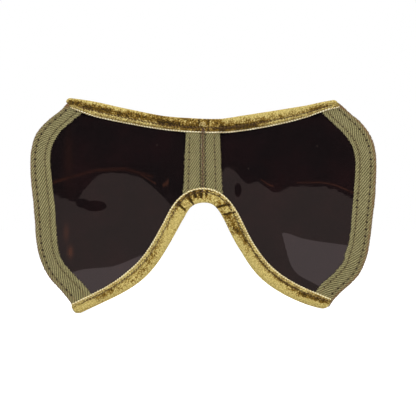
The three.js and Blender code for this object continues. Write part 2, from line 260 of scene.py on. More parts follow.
@dataclass(frozen=True)
class Outline:
    """Driving sizes of one half's outline, x outward from the fold and z up from the nose arch."""

    half_width: float = 86.25
    widest_z: float = 19.0
    brow_centre_z: float = 42.0
    brow_centre_handle: float = 24.0
    brow_corner_inset: float = 20.0
    brow_corner_z: float = 51.5
    brow_corner_handle: float = 21.6
    brow_corner_slope: float = 5.3
    temple_slope: float = 40.8
    temple_handle: float = 21.1
    side_upper_handle: float = 14.0
    side_lower_handle: float = 11.0
    cheek_bend_inset: float = 4.05
    cheek_bend_z: float = -25.5
    cheek_bend_lean: float = 14.0
    cheek_bend_handles: Span = (10.0, 13.0)
    side_end_inset: float = 20.75
    side_end_z: float = -49.5
    side_end_lean: float = 34.0
    side_end_handle: float = 10.0
    arch_handle: float = 9.2
    flank: Span = (18.0, -22.5)
    flank_lean: float = 30.7
    flank_handles: Span = (11.0, 22.0)
    tip_inset: float = 23.75
    tip_z: float = -54.8
    tip_slope: float = 24.8
    tip_handle: float = 28.0
    side_run_in: float = 15.0

    @staticmethod
    def heading(degrees: float) -> np.ndarray:
        """A direction measured down from outward."""
        return np.array([math.cos(math.radians(degrees)), -math.sin(math.radians(degrees))])

    @property
    def corner(self) -> np.ndarray:
        """Where the brow meets the side."""
        return np.array([self.half_width - self.brow_corner_inset, self.brow_corner_z])

    def brow(self) -> EdgeLine:
        """The top edge, from the fold to the corner."""
        rise = self.heading(-self.brow_corner_slope)
        centre = (0.0, self.brow_centre_z)
        handle = (self.brow_centre_handle, self.brow_centre_z)
        return EdgeLine([cubic(centre, handle, self.corner - rise * self.brow_corner_handle, self.corner)], 1)

    def side(self) -> EdgeLine:
        """The outer edge, from the brow's corner down to the tip."""
        widest = np.array([self.half_width, self.widest_z])
        bend = np.array([self.half_width - self.cheek_bend_inset, self.cheek_bend_z])
        end = np.array([self.half_width - self.side_end_inset, self.side_end_z])
        temple, down = self.heading(self.temple_slope), self.heading(90)
        bending, ending = self.heading(90 + self.cheek_bend_lean), self.heading(90 + self.side_end_lean)
        above, below = self.cheek_bend_handles
        upper = cubic(
            self.corner, self.corner + temple * self.temple_handle, widest - down * self.side_upper_handle, widest
        )
        middle = cubic(widest, widest + down * self.side_lower_handle, bend - bending * above, bend)
        lower = cubic(bend, bend + bending * below, end - ending * self.side_end_handle, end)
        return EdgeLine([upper, middle, lower], 1, run_in=self.side_run_in)

    def cheek(self) -> EdgeLine:
        """The lower edge, from the top of the nose arch to the tip."""
        flank = np.array(self.flank)
        tip = np.array([self.half_width - self.tip_inset, self.tip_z])
        leaning, sloping = self.heading(90 - self.flank_lean), self.heading(self.tip_slope)
        above, below = self.flank_handles
        arch = cubic((0.0, 0.0), (self.arch_handle, 0.0), flank - leaning * above, flank)
        cheek = cubic(flank, flank + leaning * below, tip - sloping * self.tip_handle, tip)
        return EdgeLine([arch, cheek], -1)


@dataclass(frozen=True)
class Layers:
    """Thicknesses and widths that the bindings share with the solids."""

    lens_half: float = 0.4
    tape_half: float = 1.3
    tape_slot: float = 0.5
    side_leg: float = 10.5
    inner_leg: float = 9.25
    fold_gap: float = 0.7
    seam_y: float = -1.5
    velvet_slot_over_tape: float = 1.36
    velvet_slot_over_lens: float = 0.46
    velvet_slot_ease: Span = (0.4, 6.0)
    fold_wedge: float = 9.5


@dataclass(frozen=True)
class Mirror:
    """What the lenses mirror from the front: a dark card, dim cards below it and a bright strip on the floor."""

    eye: float = 1200.0
    eye_z: float = -2.75
    far: float = 2000.0
    split_z: float = 12.6
    low_z: float = -53.2
    near: float = 300.0

    def level(self, z: np.ndarray) -> np.ndarray:
        """The lean of a sheet at height z that mirrors the foot of the dark card."""
        return ((z - self.eye_z) / self.eye - (self.split_z - z) / self.far) / 2

    def steep(self, z: np.ndarray) -> np.ndarray:
        """The lean of a sheet at height z that mirrors the edge of the bright strip."""
        return ((z - self.eye_z) / self.eye + (z - self.low_z) / self.near) / 2


OUTLINE = Outline()
LAYERS = Layers()
MIRROR = Mirror()
BROW = OUTLINE.brow()
SIDE = OUTLINE.side()
CHEEK = OUTLINE.cheek()


def make_piece(name: str, points: np.ndarray, faces: Sequence[tuple[int, ...]]) -> bpy.types.Object:
    """A smooth mesh object with its faces turned outward.

    Args:
        name: Name of the piece.
        points: Vertices in millimetres.
        faces: Vertex numbers of each face.

    Returns:
        The new object, linked to the scene.
    """
    mesh = bpy.data.meshes.new(name)
    mesh.from_pydata((points * MM).tolist(), [], faces)
    turned = bmesh.new()
    turned.from_mesh(mesh)
    bmesh.ops.recalc_face_normals(turned, faces=turned.faces)
    turned.to_mesh(mesh)
    turned.free()
    mesh.shade_smooth()
    obj = bpy.data.objects.new(name, mesh)
    bpy.context.scene.collection.objects.link(obj)
    return obj


def store(obj: bpy.types.Object, name: str, values: np.ndarray) -> None:
    """Keeps a number or a vector for each vertex, which the finish reads.

    Args:
        obj: The mesh object.
        name: Name of the attribute.
        values: One number or one row of three for each vertex.
    """
    vectors = values.ndim == 2
    layer = obj.data.attributes.new(name, "FLOAT_VECTOR" if vectors else "FLOAT", "POINT")
    layer.data.foreach_set("vector" if vectors else "value", values.astype(np.float32).ravel())


def strip_faces(count: int, ring: int) -> list[tuple[int, ...]]:
    """Faces of a closed strip through rings of vertices, with both ends filled.

    Args:
        count: How many rings there are.
        ring: How many vertices a ring has.

    Returns:
        Vertex numbers of each face.
    """
    faces: list[tuple[int, ...]] = []
    for i in range(count - 1):
        for j in range(ring):
            here, beside = i * ring + j, i * ring + (j + 1) % ring
            faces.append((here, beside, beside + ring, here + ring))
    return [*faces, tuple(range(ring)), tuple(range((count - 1) * ring, count * ring))]


def place_sections(edge: EdgeLine, stations: np.ndarray, u: np.ndarray, y: np.ndarray, flip: int = 1) -> np.ndarray:
    """Puts sections along an edge.

    Args:
        edge: The edge that the sections follow.
        stations: Distance along the edge of each section.
        u: How far in from the edge each point of each section lies.
        y: How far back each point lies.
        flip: -1 puts the sections on the left half.

    Returns:
        Points in millimetres, as an array of sections by points by three.
    """
    place, normal = edge.at(stations)
    x = (place[:, 0, None] + normal[:, 0, None] * u) * flip
    z = place[:, 1, None] + normal[:, 1, None] * u
    return np.stack([x, y, z], axis=2)


@dataclass
class ThreadBundle:
    """Lengths of sewing thread gathered into one mesh."""

    name: str
    sides: int = 6
    points: list[np.ndarray] = field(default_factory=list)
    cloth: list[np.ndarray] = field(default_factory=list)
    faces: list[tuple[int, ...]] = field(default_factory=list)
    made: int = 0

    def lay(self, path: np.ndarray, radius: float) -> None:
        """Adds one length of thread.

        Args:
            path: Centreline in millimetres.
            radius: Radius of the thread.
        """
        tangent = np.gradient(path, axis=0)
        tangent /= np.linalg.norm(tangent, axis=1)[:, None]
        start = np.cross(tangent[0], THREAD_UP)
        normals = [start / np.linalg.norm(start)]
        for way in tangent[1:]:
            carried = normals[-1] - way * np.dot(normals[-1], way)
            normals.append(carried / np.linalg.norm(carried))
        normal = np.array(normals)
        other = np.cross(tangent, normal)
        angle = np.linspace(0, 2 * math.pi, self.sides, endpoint=False)
        rim = normal[:, None] * np.cos(angle)[:, None] + other[:, None] * np.sin(angle)[:, None]
        run = np.concatenate([[0.0], np.cumsum(np.linalg.norm(np.diff(path, axis=0), axis=1))])
        cloth = np.zeros((len(path), self.sides, 3))
        cloth[:, :, 0] = np.abs(angle[None, :] - math.pi)
        cloth[:, :, 1] = run[:, None]
        self.points.append((path[:, None] + rim * radius).reshape(-1, 3))
        self.cloth.append(cloth.reshape(-1, 3))
        self.faces += [tuple(self.made + i for i in f) for f in strip_faces(len(path), self.sides)]
        self.made += len(path) * self.sides

    def prick(self, hole: np.ndarray, face: Face, rise: float, radius: float) -> None:
        """Adds a needle hole, as a short stub that stands out from a face; with its dark finish it is the hole's
        painted shade.

        Args:
            hole: Its place on the cloth's surface.
            face: Which face it is on.
            rise: How far the stub stands out.
            radius: Its radius.
        """
        out = np.array([0.0, face.value, 0.0])
        self.lay(np.stack([hole - out * HOLE_DEPTH, hole + out * rise]), radius)

    def build(self, finish: "Finish", slot: str) -> bpy.types.Object:
        """Makes the mesh of all the lengths and dresses it."""
        obj = make_piece(self.name, np.concatenate(self.points), self.faces)
        store(obj, CLOTH, np.concatenate(self.cloth))
        dress(obj, finish)
        return obj


class Shader:
    """A short way to add shader nodes to a tree and join them."""

    def __init__(self, tree: bpy.types.NodeTree) -> None:
        """Takes the tree that nodes are added to."""
        self.tree = tree

    def add(self, kind: str, inputs: dict | None = None, **settings: object) -> bpy.types.Node:
        """Adds a node.

        Args:
            kind: Blender's name of the node type, without its ShaderNode prefix.
            inputs: A value or another node's output for each named or numbered input.
            **settings: The node's own settings.

        Returns:
            The new node.
        """
        node = self.tree.nodes.new(f"ShaderNode{kind}")
        for key, value in settings.items():
            setattr(node, key, value)
        return self.fill(node, inputs or {})

    def fill(self, node: bpy.types.Node, inputs: dict) -> bpy.types.Node:
        """Links each input of a node to a socket, or sets it to a value."""
        for key, value in inputs.items():
            if isinstance(value, bpy.types.NodeSocket):
                self.tree.links.new(value, node.inputs[key])
            else:
                node.inputs[key].default_value = value
        return node

    def math(self, operation: str, first: object, second: object = 0.0) -> bpy.types.NodeSocket:
        """The result of an operation on two values."""
        return self.add("Math", {0: first, 1: second}, operation=operation).outputs[0]

    def times(self, first: object, second: object) -> bpy.types.NodeSocket:
        """One value times another."""
        return self.math("MULTIPLY", first, second)

    def line(self, value: object, slope: float, start: float) -> bpy.types.NodeSocket:
        """A value times a slope, from a start."""
        return self.math("ADD", self.times(value, slope), start)

    def centred(self, value: object, size: object) -> bpy.types.NodeSocket:
        """A value of 0 to 1 as one of plus or minus half a size."""
        return self.times(self.math("SUBTRACT", value, 0.5), size)

    def ramp(self, value: object, low: object, high: object) -> bpy.types.NodeSocket:
        """A smooth ramp from 0 at low to 1 at high."""
        return self.add("MapRange", {0: value, 1: low, 2: high}, interpolation_type="SMOOTHSTEP").outputs[0]

    def blend(self, share: object, low: object, high: object) -> bpy.types.NodeSocket:
        """A colour between two colours."""
        return self.add("Mix", {0: share, 6: low, 7: high}, data_type="RGBA").outputs[2]

    def noise(self, place: object, scale: object, detail: float = 2.0, roughness: float = 0.5) -> bpy.types.NodeSocket:
        """Noise with features of one over the scale."""
        inputs = {"Vector": place, "Scale": scale, "Detail": detail, "Roughness": roughness}
        return self.add("TexNoise", inputs).outputs[0]

    def attribute(self, name: str) -> bpy.types.Node:
        """A value that the mesh keeps for each vertex."""
        return self.add("Attribute", attribute_name=name)

    def place(self) -> bpy.types.NodeSocket:
        """The surface's own place in metres."""
        return self.add("TexCoord").outputs["Object"]


def rgb(red: int, green: int, blue: int) -> Colour:
    """A screen colour of 0 to 255 as the linear colour that shaders take."""
    linear = [((c / 255 + 0.055) / 1.055) ** 2.4 if c > 10 else c / 255 / 12.92 for c in (red, green, blue)]
    return (*linear, 1.0)


class Effects:
    """The shader node groups that several finishes share, each made once."""

    @staticmethod
    def group(
        name: str, inputs: dict[str, float | None], outputs: Sequence[str]
    ) -> tuple[Shader, Sequence[bpy.types.NodeSocket], bpy.types.Node]:
        """Starts a node group.

        Args:
            name: Name of the group.
            inputs: First value of each input, or None for one that is a place.
            outputs: Names of the outputs, which are numbers.

        Returns:
            The group's shader, its input sockets and its output node.
        """
        tree = bpy.data.node_groups.new(name, "ShaderNodeTree")
        for word, value in inputs.items():
            kind = "NodeSocketVector" if value is None else "NodeSocketFloat"
            socket = tree.interface.new_socket(word, in_out="INPUT", socket_type=kind)
            if value is not None:
                socket.default_value = value
        for word in outputs:
            tree.interface.new_socket(word, in_out="OUTPUT", socket_type="NodeSocketFloat")
        return Shader(tree), tree.nodes.new("NodeGroupInput").outputs, tree.nodes.new("NodeGroupOutput")

    @staticmethod
    @cache
    def twill() -> bpy.types.NodeTree:
        """Slanting ridges of a twill, with the yarns that cross them."""
        inputs = {"Place": None, "Pitch": 1.0, "Unevenness": 0.2}
        shader, start, end = Effects.group("twill weave", inputs, ("Ridge", "Height"))
        wander_scale, slant, yarn_rate = 0.6, math.radians(35), 2.6
        ridge_height, yarn_height = 0.75, 0.14
        shift = shader.centred(shader.noise(start["Place"], wander_scale), start["Unevenness"])
        x, y, _ = shader.add("SeparateXYZ", {0: start["Place"]}).outputs
        cosine, sine = math.cos(slant), math.sin(slant)
        over = shader.math("SUBTRACT", shader.times(x, cosine), shader.times(y, sine))
        down = shader.math("ADD", shader.times(x, sine), shader.times(y, cosine))
        turns = shader.math("ADD", shader.math("DIVIDE", over, start["Pitch"]), shift)
        wave = shader.math("SINE", shader.times(turns, 2 * math.pi))
        yarns = shader.math("ADD", shader.math("DIVIDE", down, start["Pitch"]), turns)
        cross = shader.math("SINE", shader.times(yarns, yarn_rate * math.pi))
        ridge = shader.line(wave, 0.5, 0.5)
        height = shader.math("ADD", shader.times(ridge, ridge_height), shader.times(cross, yarn_height))
        shader.fill(end, {"Ridge": ridge, "Height": height})
        return shader.tree

    @staticmethod
    @cache
    def mottle() -> bpy.types.NodeTree:
        """Soft uneven patches, as of wear, crushing or fading."""
        inputs = {"Place": None, "Scale": 100.0, "Low": 0.4, "High": 0.6}
        shader, start, end = Effects.group("mottle", inputs, ("Mask",))
        wide = shader.noise(start["Place"], start["Scale"], detail=3.0, roughness=0.6)
        shader.fill(end, {"Mask": shader.ramp(wide, start["Low"], start["High"])})
        return shader.tree

    @staticmethod
    @cache
    def flecks() -> bpy.types.NodeTree:
        """Scattered specks of lint and dust."""
        inputs = {"Place": None, "Scale": 600.0, "Share": 0.05}
        shader, start, end = Effects.group("flecks", inputs, ("Mask",))
        radius = 0.28
        cells = shader.add("TexVoronoi", {"Vector": start["Place"], "Scale": start["Scale"]}).outputs
        chosen = shader.add("SeparateColor", {0: cells["Color"]}).outputs[0]
        picked = shader.math("LESS_THAN", chosen, start["Share"])
        near = shader.math("LESS_THAN", cells["Distance"], radius)
        shader.fill(end, {"Mask": shader.times(picked, near)})
        return shader.tree

    @staticmethod
    def use(shader: Shader, tree: bpy.types.NodeTree, inputs: dict) -> Sequence[bpy.types.NodeSocket]:
        """Places a group in a material with its own values, and gives its outputs."""
        return shader.fill(shader.add("Group", node_tree=tree), inputs).outputs


@dataclass(frozen=True)
class Finish:
    """A surface finish with its own material."""

    name: str

    def start(self) -> tuple[bpy.types.Material, Shader, bpy.types.Node]:
        """Makes an empty material.

        Returns:
            The material, its shader and its surface node.
        """
        material = bpy.data.materials.new(self.name)
        material.use_nodes = True
        surface = material.node_tree.nodes["Principled BSDF"]
        return material, Shader(material.node_tree), surface

    def material(self) -> bpy.types.Material:
        """The material, made the first time that it is asked for."""
        return bpy.data.materials.get(self.name) or self.make()

    def make(self) -> bpy.types.Material:
        """Builds the material."""
        raise NotImplementedError

    @staticmethod
    def bump(shader: Shader, height: bpy.types.NodeSocket, depth: float) -> bpy.types.NodeSocket:
        """The normal of a surface raised by a height of 0 to 1 times a depth in metres."""
        return shader.add("Bump", {"Height": height, "Distance": depth, "Strength": 1.0}).outputs[0]

    @staticmethod
    def patches(shader: Shader, place: object, scale: float, low: float, high: float) -> bpy.types.NodeSocket:
        """A mask of uneven patches.

        Args:
            shader: The material's shader.
            place: Where the patches are read.
            scale: One over their size.
            low: The noise below which the mask is 0.
            high: The noise above which it is 1.

        Returns:
            The mask.
        """
        return Effects.use(shader, Effects.mottle(), {"Place": place, "Scale": scale, "Low": low, "High": high})[0]

    @staticmethod
    def specks(shader: Shader, place: object, scale: float, share: float) -> bpy.types.NodeSocket:
        """A mask of specks, of one over the scale, in a share of the places."""
        return Effects.use(shader, Effects.flecks(), {"Place": place, "Scale": scale, "Share": share})[0]


@dataclass(frozen=True)
class TintedSheet(Finish):
    """Dark brown tinted sheet, glossy, with faint smears and dust, and warm glints and streaks of painted reflection.
    """

    deep: Colour = rgb(21, 16, 17)
    warm: Colour = rgb(29, 18, 19)
    # Colour of the painted reflection in the glints and streaks.
    glint: Colour = rgb(92, 50, 32)
    dust: Colour = rgb(120, 108, 96)
    dustiness: float = 0.12
    gloss: Span = (0.05, 0.02)
    ior: float = 1.62
    warm_patches: Patch = (45.0, 0.35, 0.8)
    smears: Patch = (160.0, 0.45, 0.9)
    specks_of_dust: Span = (700.0, 0.0012)

    def make(self) -> bpy.types.Material:
        """Builds the material."""
        material, shader, surface = self.start()
        place = shader.place()
        patches = self.patches(shader, place, *self.warm_patches)
        smears = self.patches(shader, place, *self.smears)
        specks = self.specks(shader, place, *self.specks_of_dust)
        tint = shader.blend(patches, self.deep, self.warm)
        # Painted reflection: the stored glints and streaks turn the tint towards the glint colour.
        tint = shader.blend(shader.attribute(PAINTED_REFLECTION).outputs["Fac"], tint, self.glint)
        dusty = shader.blend(shader.times(specks, self.dustiness), tint, self.dust)
        shader.fill(surface, {"Base Color": dusty, "Roughness": shader.line(smears, *self.gloss), "IOR": self.ior})
        return material


@dataclass(frozen=True)
class TwillCloth(Finish):
    """Olive cotton twill, paler on its ridges, brown with wear along its folded edge, darkened by painted shade along
    its stitch rows and beside its hem, and bleached along its lens edge.
    """

    ridge: Colour = rgb(168, 160, 111)
    furrow: Colour = rgb(70, 62, 33)
    faded: Colour = rgb(138, 129, 92)
    # Brown of the wear along the fold, used too for the painted shade along the stitch rows and beside the hem.
    worn: Colour = rgb(118, 80, 48)
    pitch: float = 1.06
    unevenness: float = 0.52
    graininess: float = 0.38
    fading: float = 0.3
    grime: Span = (0.6, 0.4)
    bleach: float = 0.4
    lint: float = 0.3
    relief: float = 0.00022
    grain_patches: Patch = (1900.0, 0.35, 0.65)
    faded_patches: Patch = (140.0, 0.4, 0.75)
    grime_patches: Patch = (700.0, 0.4, 0.62)
    specks_of_lint: Span = (1100.0, 0.05)

    def make(self) -> bpy.types.Material:
        """Builds the material."""
        material, shader, surface = self.start()
        place = shader.place()
        woven = shader.attribute(CLOTH).outputs["Vector"]
        inputs = {"Place": woven, "Pitch": self.pitch, "Unevenness": self.unevenness}
        weave = Effects.use(shader, Effects.twill(), inputs)
        grain = self.patches(shader, place, *self.grain_patches)
        patches = self.patches(shader, place, *self.faded_patches)
        grime = self.patches(shader, place, *self.grime_patches)
        lint = self.specks(shader, place, *self.specks_of_lint)
        cloth = shader.blend(weave["Ridge"], self.furrow, self.ridge)
        cloth = shader.blend(shader.times(grain, self.graininess), cloth, self.furrow)
        cloth = shader.blend(shader.times(patches, self.fading), cloth, self.faded)
        # Wear along the fold plus painted shade along the stitch rows and beside the hem, mixed towards brown.
        edge = shader.attribute(WEAR_AND_SHADE).outputs["Fac"]
        cloth = shader.blend(shader.times(edge, shader.line(grime, *self.grime)), cloth, self.worn)
        cloth = shader.blend(shader.times(shader.ramp(edge, 0.0, -1.0), self.bleach), cloth, self.ridge)
        cloth = shader.blend(shader.times(lint, self.lint), cloth, self.ridge)
        look = {"Roughness": 0.88, "Specular IOR Level": 0.2, "Sheen Weight": 0.12, "Sheen Roughness": 0.6}
        normal = self.bump(shader, weave["Height"], self.relief)
        shader.fill(surface, {"Base Color": cloth, "Normal": normal, **look})
        return material


@dataclass(frozen=True)
class VelvetPile(Finish):
    """Olive-gold velvet: bright on its raised pile, dark where the nap is pressed down, with the ribbon's painted
    highlight and painted shade, and painted shade in the sewn channel and in the gap beside the selvedge.

    The spans below are distances past the sewn channel, towards the selvedge.
    """

    pale: Colour = rgb(254, 236, 156)
    gold: Colour = rgb(180, 148, 48)
    ochre: Colour = rgb(146, 109, 22)
    # Darkest tone, for pressed nap and for painted shade.
    crushed: Colour = rgb(54, 39, 8)
    thread: Colour = rgb(104, 72, 40)
    sheen: Colour = rgb(238, 200, 92)
    nap_size: float = 0.45
    loft_size: float = 0.95
    # Thresholds of pressed nap together with painted light.
    dulled: Span = (0.0, 0.45)
    flattened: Span = (0.4, 0.9)
    lip_from: Span = (-0.2, 0.2)
    lip_to: Span = (1.4, 1.8)
    # Where the sewn channel gets painted shade.
    channel_from: Span = (-0.55, -0.1)
    channel_to: Span = (0.0, 0.4)
    # Where the gap beside the selvedge gets painted shade.
    shaded: Span = (1.75, 2.1)
    stitch_pitch: float = 1.5
    stitch_lean: float = 0.5
    relief: float = 0.0006
    pile_scales: Patch = (0.42, 1.2, 2.6)
    pile_ramp: Span = (0.33, 0.67)
    loft_shares: Span = (0.6, 0.4)
    stripe_ramp: Span = (-0.2, 0.9)
    brushed_ramp: Span = (0.7, 0.1)
    brushed_tufts: Span = (0.42, 0.07)
    sewn_share: float = 0.55
    channel_tufts: Span = (0.34, 0.05)
    shaded_share: float = 0.5

    def make(self) -> bpy.types.Material:
        """Builds the material, which reads how far past the sewn channel a place is and how far along."""
        material, shader, surface = self.start()
        cloth = shader.attribute(CLOTH).outputs["Vector"]
        hollow = shader.attribute(PAINTED_LIGHT_AND_NAP).outputs["Fac"]
        past, along = shader.add("SeparateXYZ", {0: cloth}).outputs[:2]
        nap, tufts, fibres = (self.patches(shader, cloth, scale, *self.pile_ramp) for scale in self.pile_scales)
        tuft_share, fibre_share = self.loft_shares
        loft = shader.math("ADD", shader.times(tufts, tuft_share), shader.times(fibres, fibre_share))
        # Pressed nap plus the painted highlight and shade that the ribbon stores.
        crush = shader.math("ADD", hollow, shader.centred(nap, self.nap_size))
        crush = shader.math("SUBTRACT", crush, shader.centred(loft, self.loft_size))
        pile = shader.blend(loft, self.gold, self.pale)
        pile = shader.blend(shader.ramp(crush, *self.dulled), pile, self.ochre)
        pile = shader.blend(shader.ramp(crush, *self.flattened), pile, self.crushed)
        rows = shader.math("DIVIDE", along, self.stitch_pitch)
        turns = shader.math("ADD", rows, shader.times(past, self.stitch_lean))
        stripes = shader.ramp(shader.math("SINE", shader.times(turns, 2 * math.pi)), *self.stripe_ramp)
        lip = shader.math("SUBTRACT", *(shader.ramp(past, *span) for span in (self.lip_from, self.lip_to)))
        brushed = shader.times(lip, shader.ramp(hollow, *self.brushed_ramp))
        pile = shader.blend(shader.times(brushed, shader.line(tufts, *self.brushed_tufts)), pile, self.pale)
        sewn = shader.times(shader.times(lip, stripes), shader.times(nap, self.sewn_share))
        pile = shader.blend(sewn, pile, self.thread)
        # Painted shade in the sewn channel.
        channel = shader.math("SUBTRACT", *(shader.ramp(past, *span) for span in (self.channel_from, self.channel_to)))
        pile = shader.blend(shader.times(channel, shader.line(tufts, *self.channel_tufts)), pile, self.crushed)
        # Painted shade in the gap beside the selvedge.
        shade = shader.times(shader.ramp(past, *self.shaded), self.shaded_share)
        pile = shader.blend(shade, pile, self.crushed)
        look = {"Roughness": 0.8, "Specular IOR Level": 0.25, "Sheen Weight": 0.36, "Sheen Roughness": 0.3}
        normal = self.bump(shader, loft, self.relief)
        shader.fill(surface, {"Base Color": pile, "Normal": normal, "Sheen Tint": self.sheen, **look})
        return material


@dataclass(frozen=True)
class SpunThread(Finish):
    """Twisted cotton thread, whose twist is the length of one turn."""

    light: Colour
    dark: Colour
    twist: float = 0.55
    fading: float = 0.35
    faded_patches: Patch = (400.0, 0.3, 0.7)
    relief: float = 0.00008

    def make(self) -> bpy.types.Material:
        """Builds the material."""
        material, shader, surface = self.start()
        axes = shader.add("SeparateXYZ", {0: shader.attribute(CLOTH).outputs["Vector"]}).outputs
        turns = shader.math("ADD", shader.times(axes[1], 2 * math.pi / self.twist), axes[0])
        plies = shader.line(shader.math("SINE", turns), 0.5, 0.5)
        faded = self.patches(shader, shader.place(), *self.faded_patches)
        spun = shader.blend(plies, self.dark, self.light)
        spun = shader.blend(shader.times(faded, self.fading), spun, self.dark)
        normal = self.bump(shader, plies, self.relief)
        shader.fill(surface, {"Base Color": spun, "Normal": normal, "Roughness": 0.75, "Specular IOR Level": 0.3})
        return material


LENS_FINISH = TintedSheet("tinted sheet")
TAPE_FINISH = TwillCloth("olive twill")
VELVET_FINISH = VelvetPile("gold velvet")
STITCH_FINISH = SpunThread("olive thread", rgb(126, 118, 80), rgb(86, 78, 50))
# Dark finish of the needle-hole stubs: the holes' painted shade.
HOLE_SHADE_FINISH = SpunThread("needle hole", rgb(52, 44, 28), rgb(34, 28, 18))
SEAM_FINISH = SpunThread("seam thread", rgb(128, 98, 74), rgb(44, 28, 22), 1.8)
WHIP_FINISH = SpunThread("whip thread", rgb(204, 190, 138), rgb(146, 130, 90))
VELVET_STITCH_FINISH = SpunThread("gold thread", rgb(150, 120, 70), rgb(56, 38, 24), 3.4)
BROW_TRIM_FINISH = SpunThread("dashed selvedge", rgb(255, 250, 218), rgb(172, 148, 92), 1.5)
CHEEK_TRIM_FINISH = SpunThread("pale selvedge", rgb(255, 248, 206), rgb(196, 170, 106), 1.5)
KNOT_FINISH = SpunThread("knot thread", rgb(230, 212, 150), rgb(170, 146, 86), 0.5)
FIBRE_FINISH = SpunThread("loose fibre", rgb(176, 164, 118), rgb(110, 84, 56), 7.0)
CORE_FINISH = SpunThread("seam filling", rgb(176, 166, 116), rgb(122, 112, 74))


def dress(obj: bpy.types.Object, finish: Finish) -> None:
    """Gives a piece its finish."""
    obj.data.materials.append(finish.material())


def bend_across(obj: bpy.types.Object) -> None:
    """Bakes a piece's placement into its mesh."""
    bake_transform(obj)


def slot_half(edge: EdgeLine, stations: np.ndarray, width: np.ndarray, depth: float) -> np.ndarray:
    """How far apart a velvet ribbon's inner faces stand, which is wide over tape and narrow over bare lens.

    Args:
        edge: The edge that the ribbon covers.
        stations: Distances along the edge.
        width: The ribbon's width there.
        depth: How deep the ribbon's slot reaches towards the edge.

    Returns:
        Half the slot's width at each station.
    """
    place, normal = edge.at(stations)
    clear = np.full(len(stations), np.inf)
    for inset in (np.full(len(stations), depth), width):
        spots = place + normal * inset[:, None]
        clear = np.minimum(clear, SIDE.gap(spots) - LAYERS.side_leg)
        clear = np.minimum(clear, np.abs(spots[:, 0]) - LAYERS.fold_gap - LAYERS.inner_leg)
    share = smoothstep(clear, *LAYERS.velvet_slot_ease)
    return mix(LAYERS.velvet_slot_over_tape, LAYERS.velvet_slot_over_lens, share)


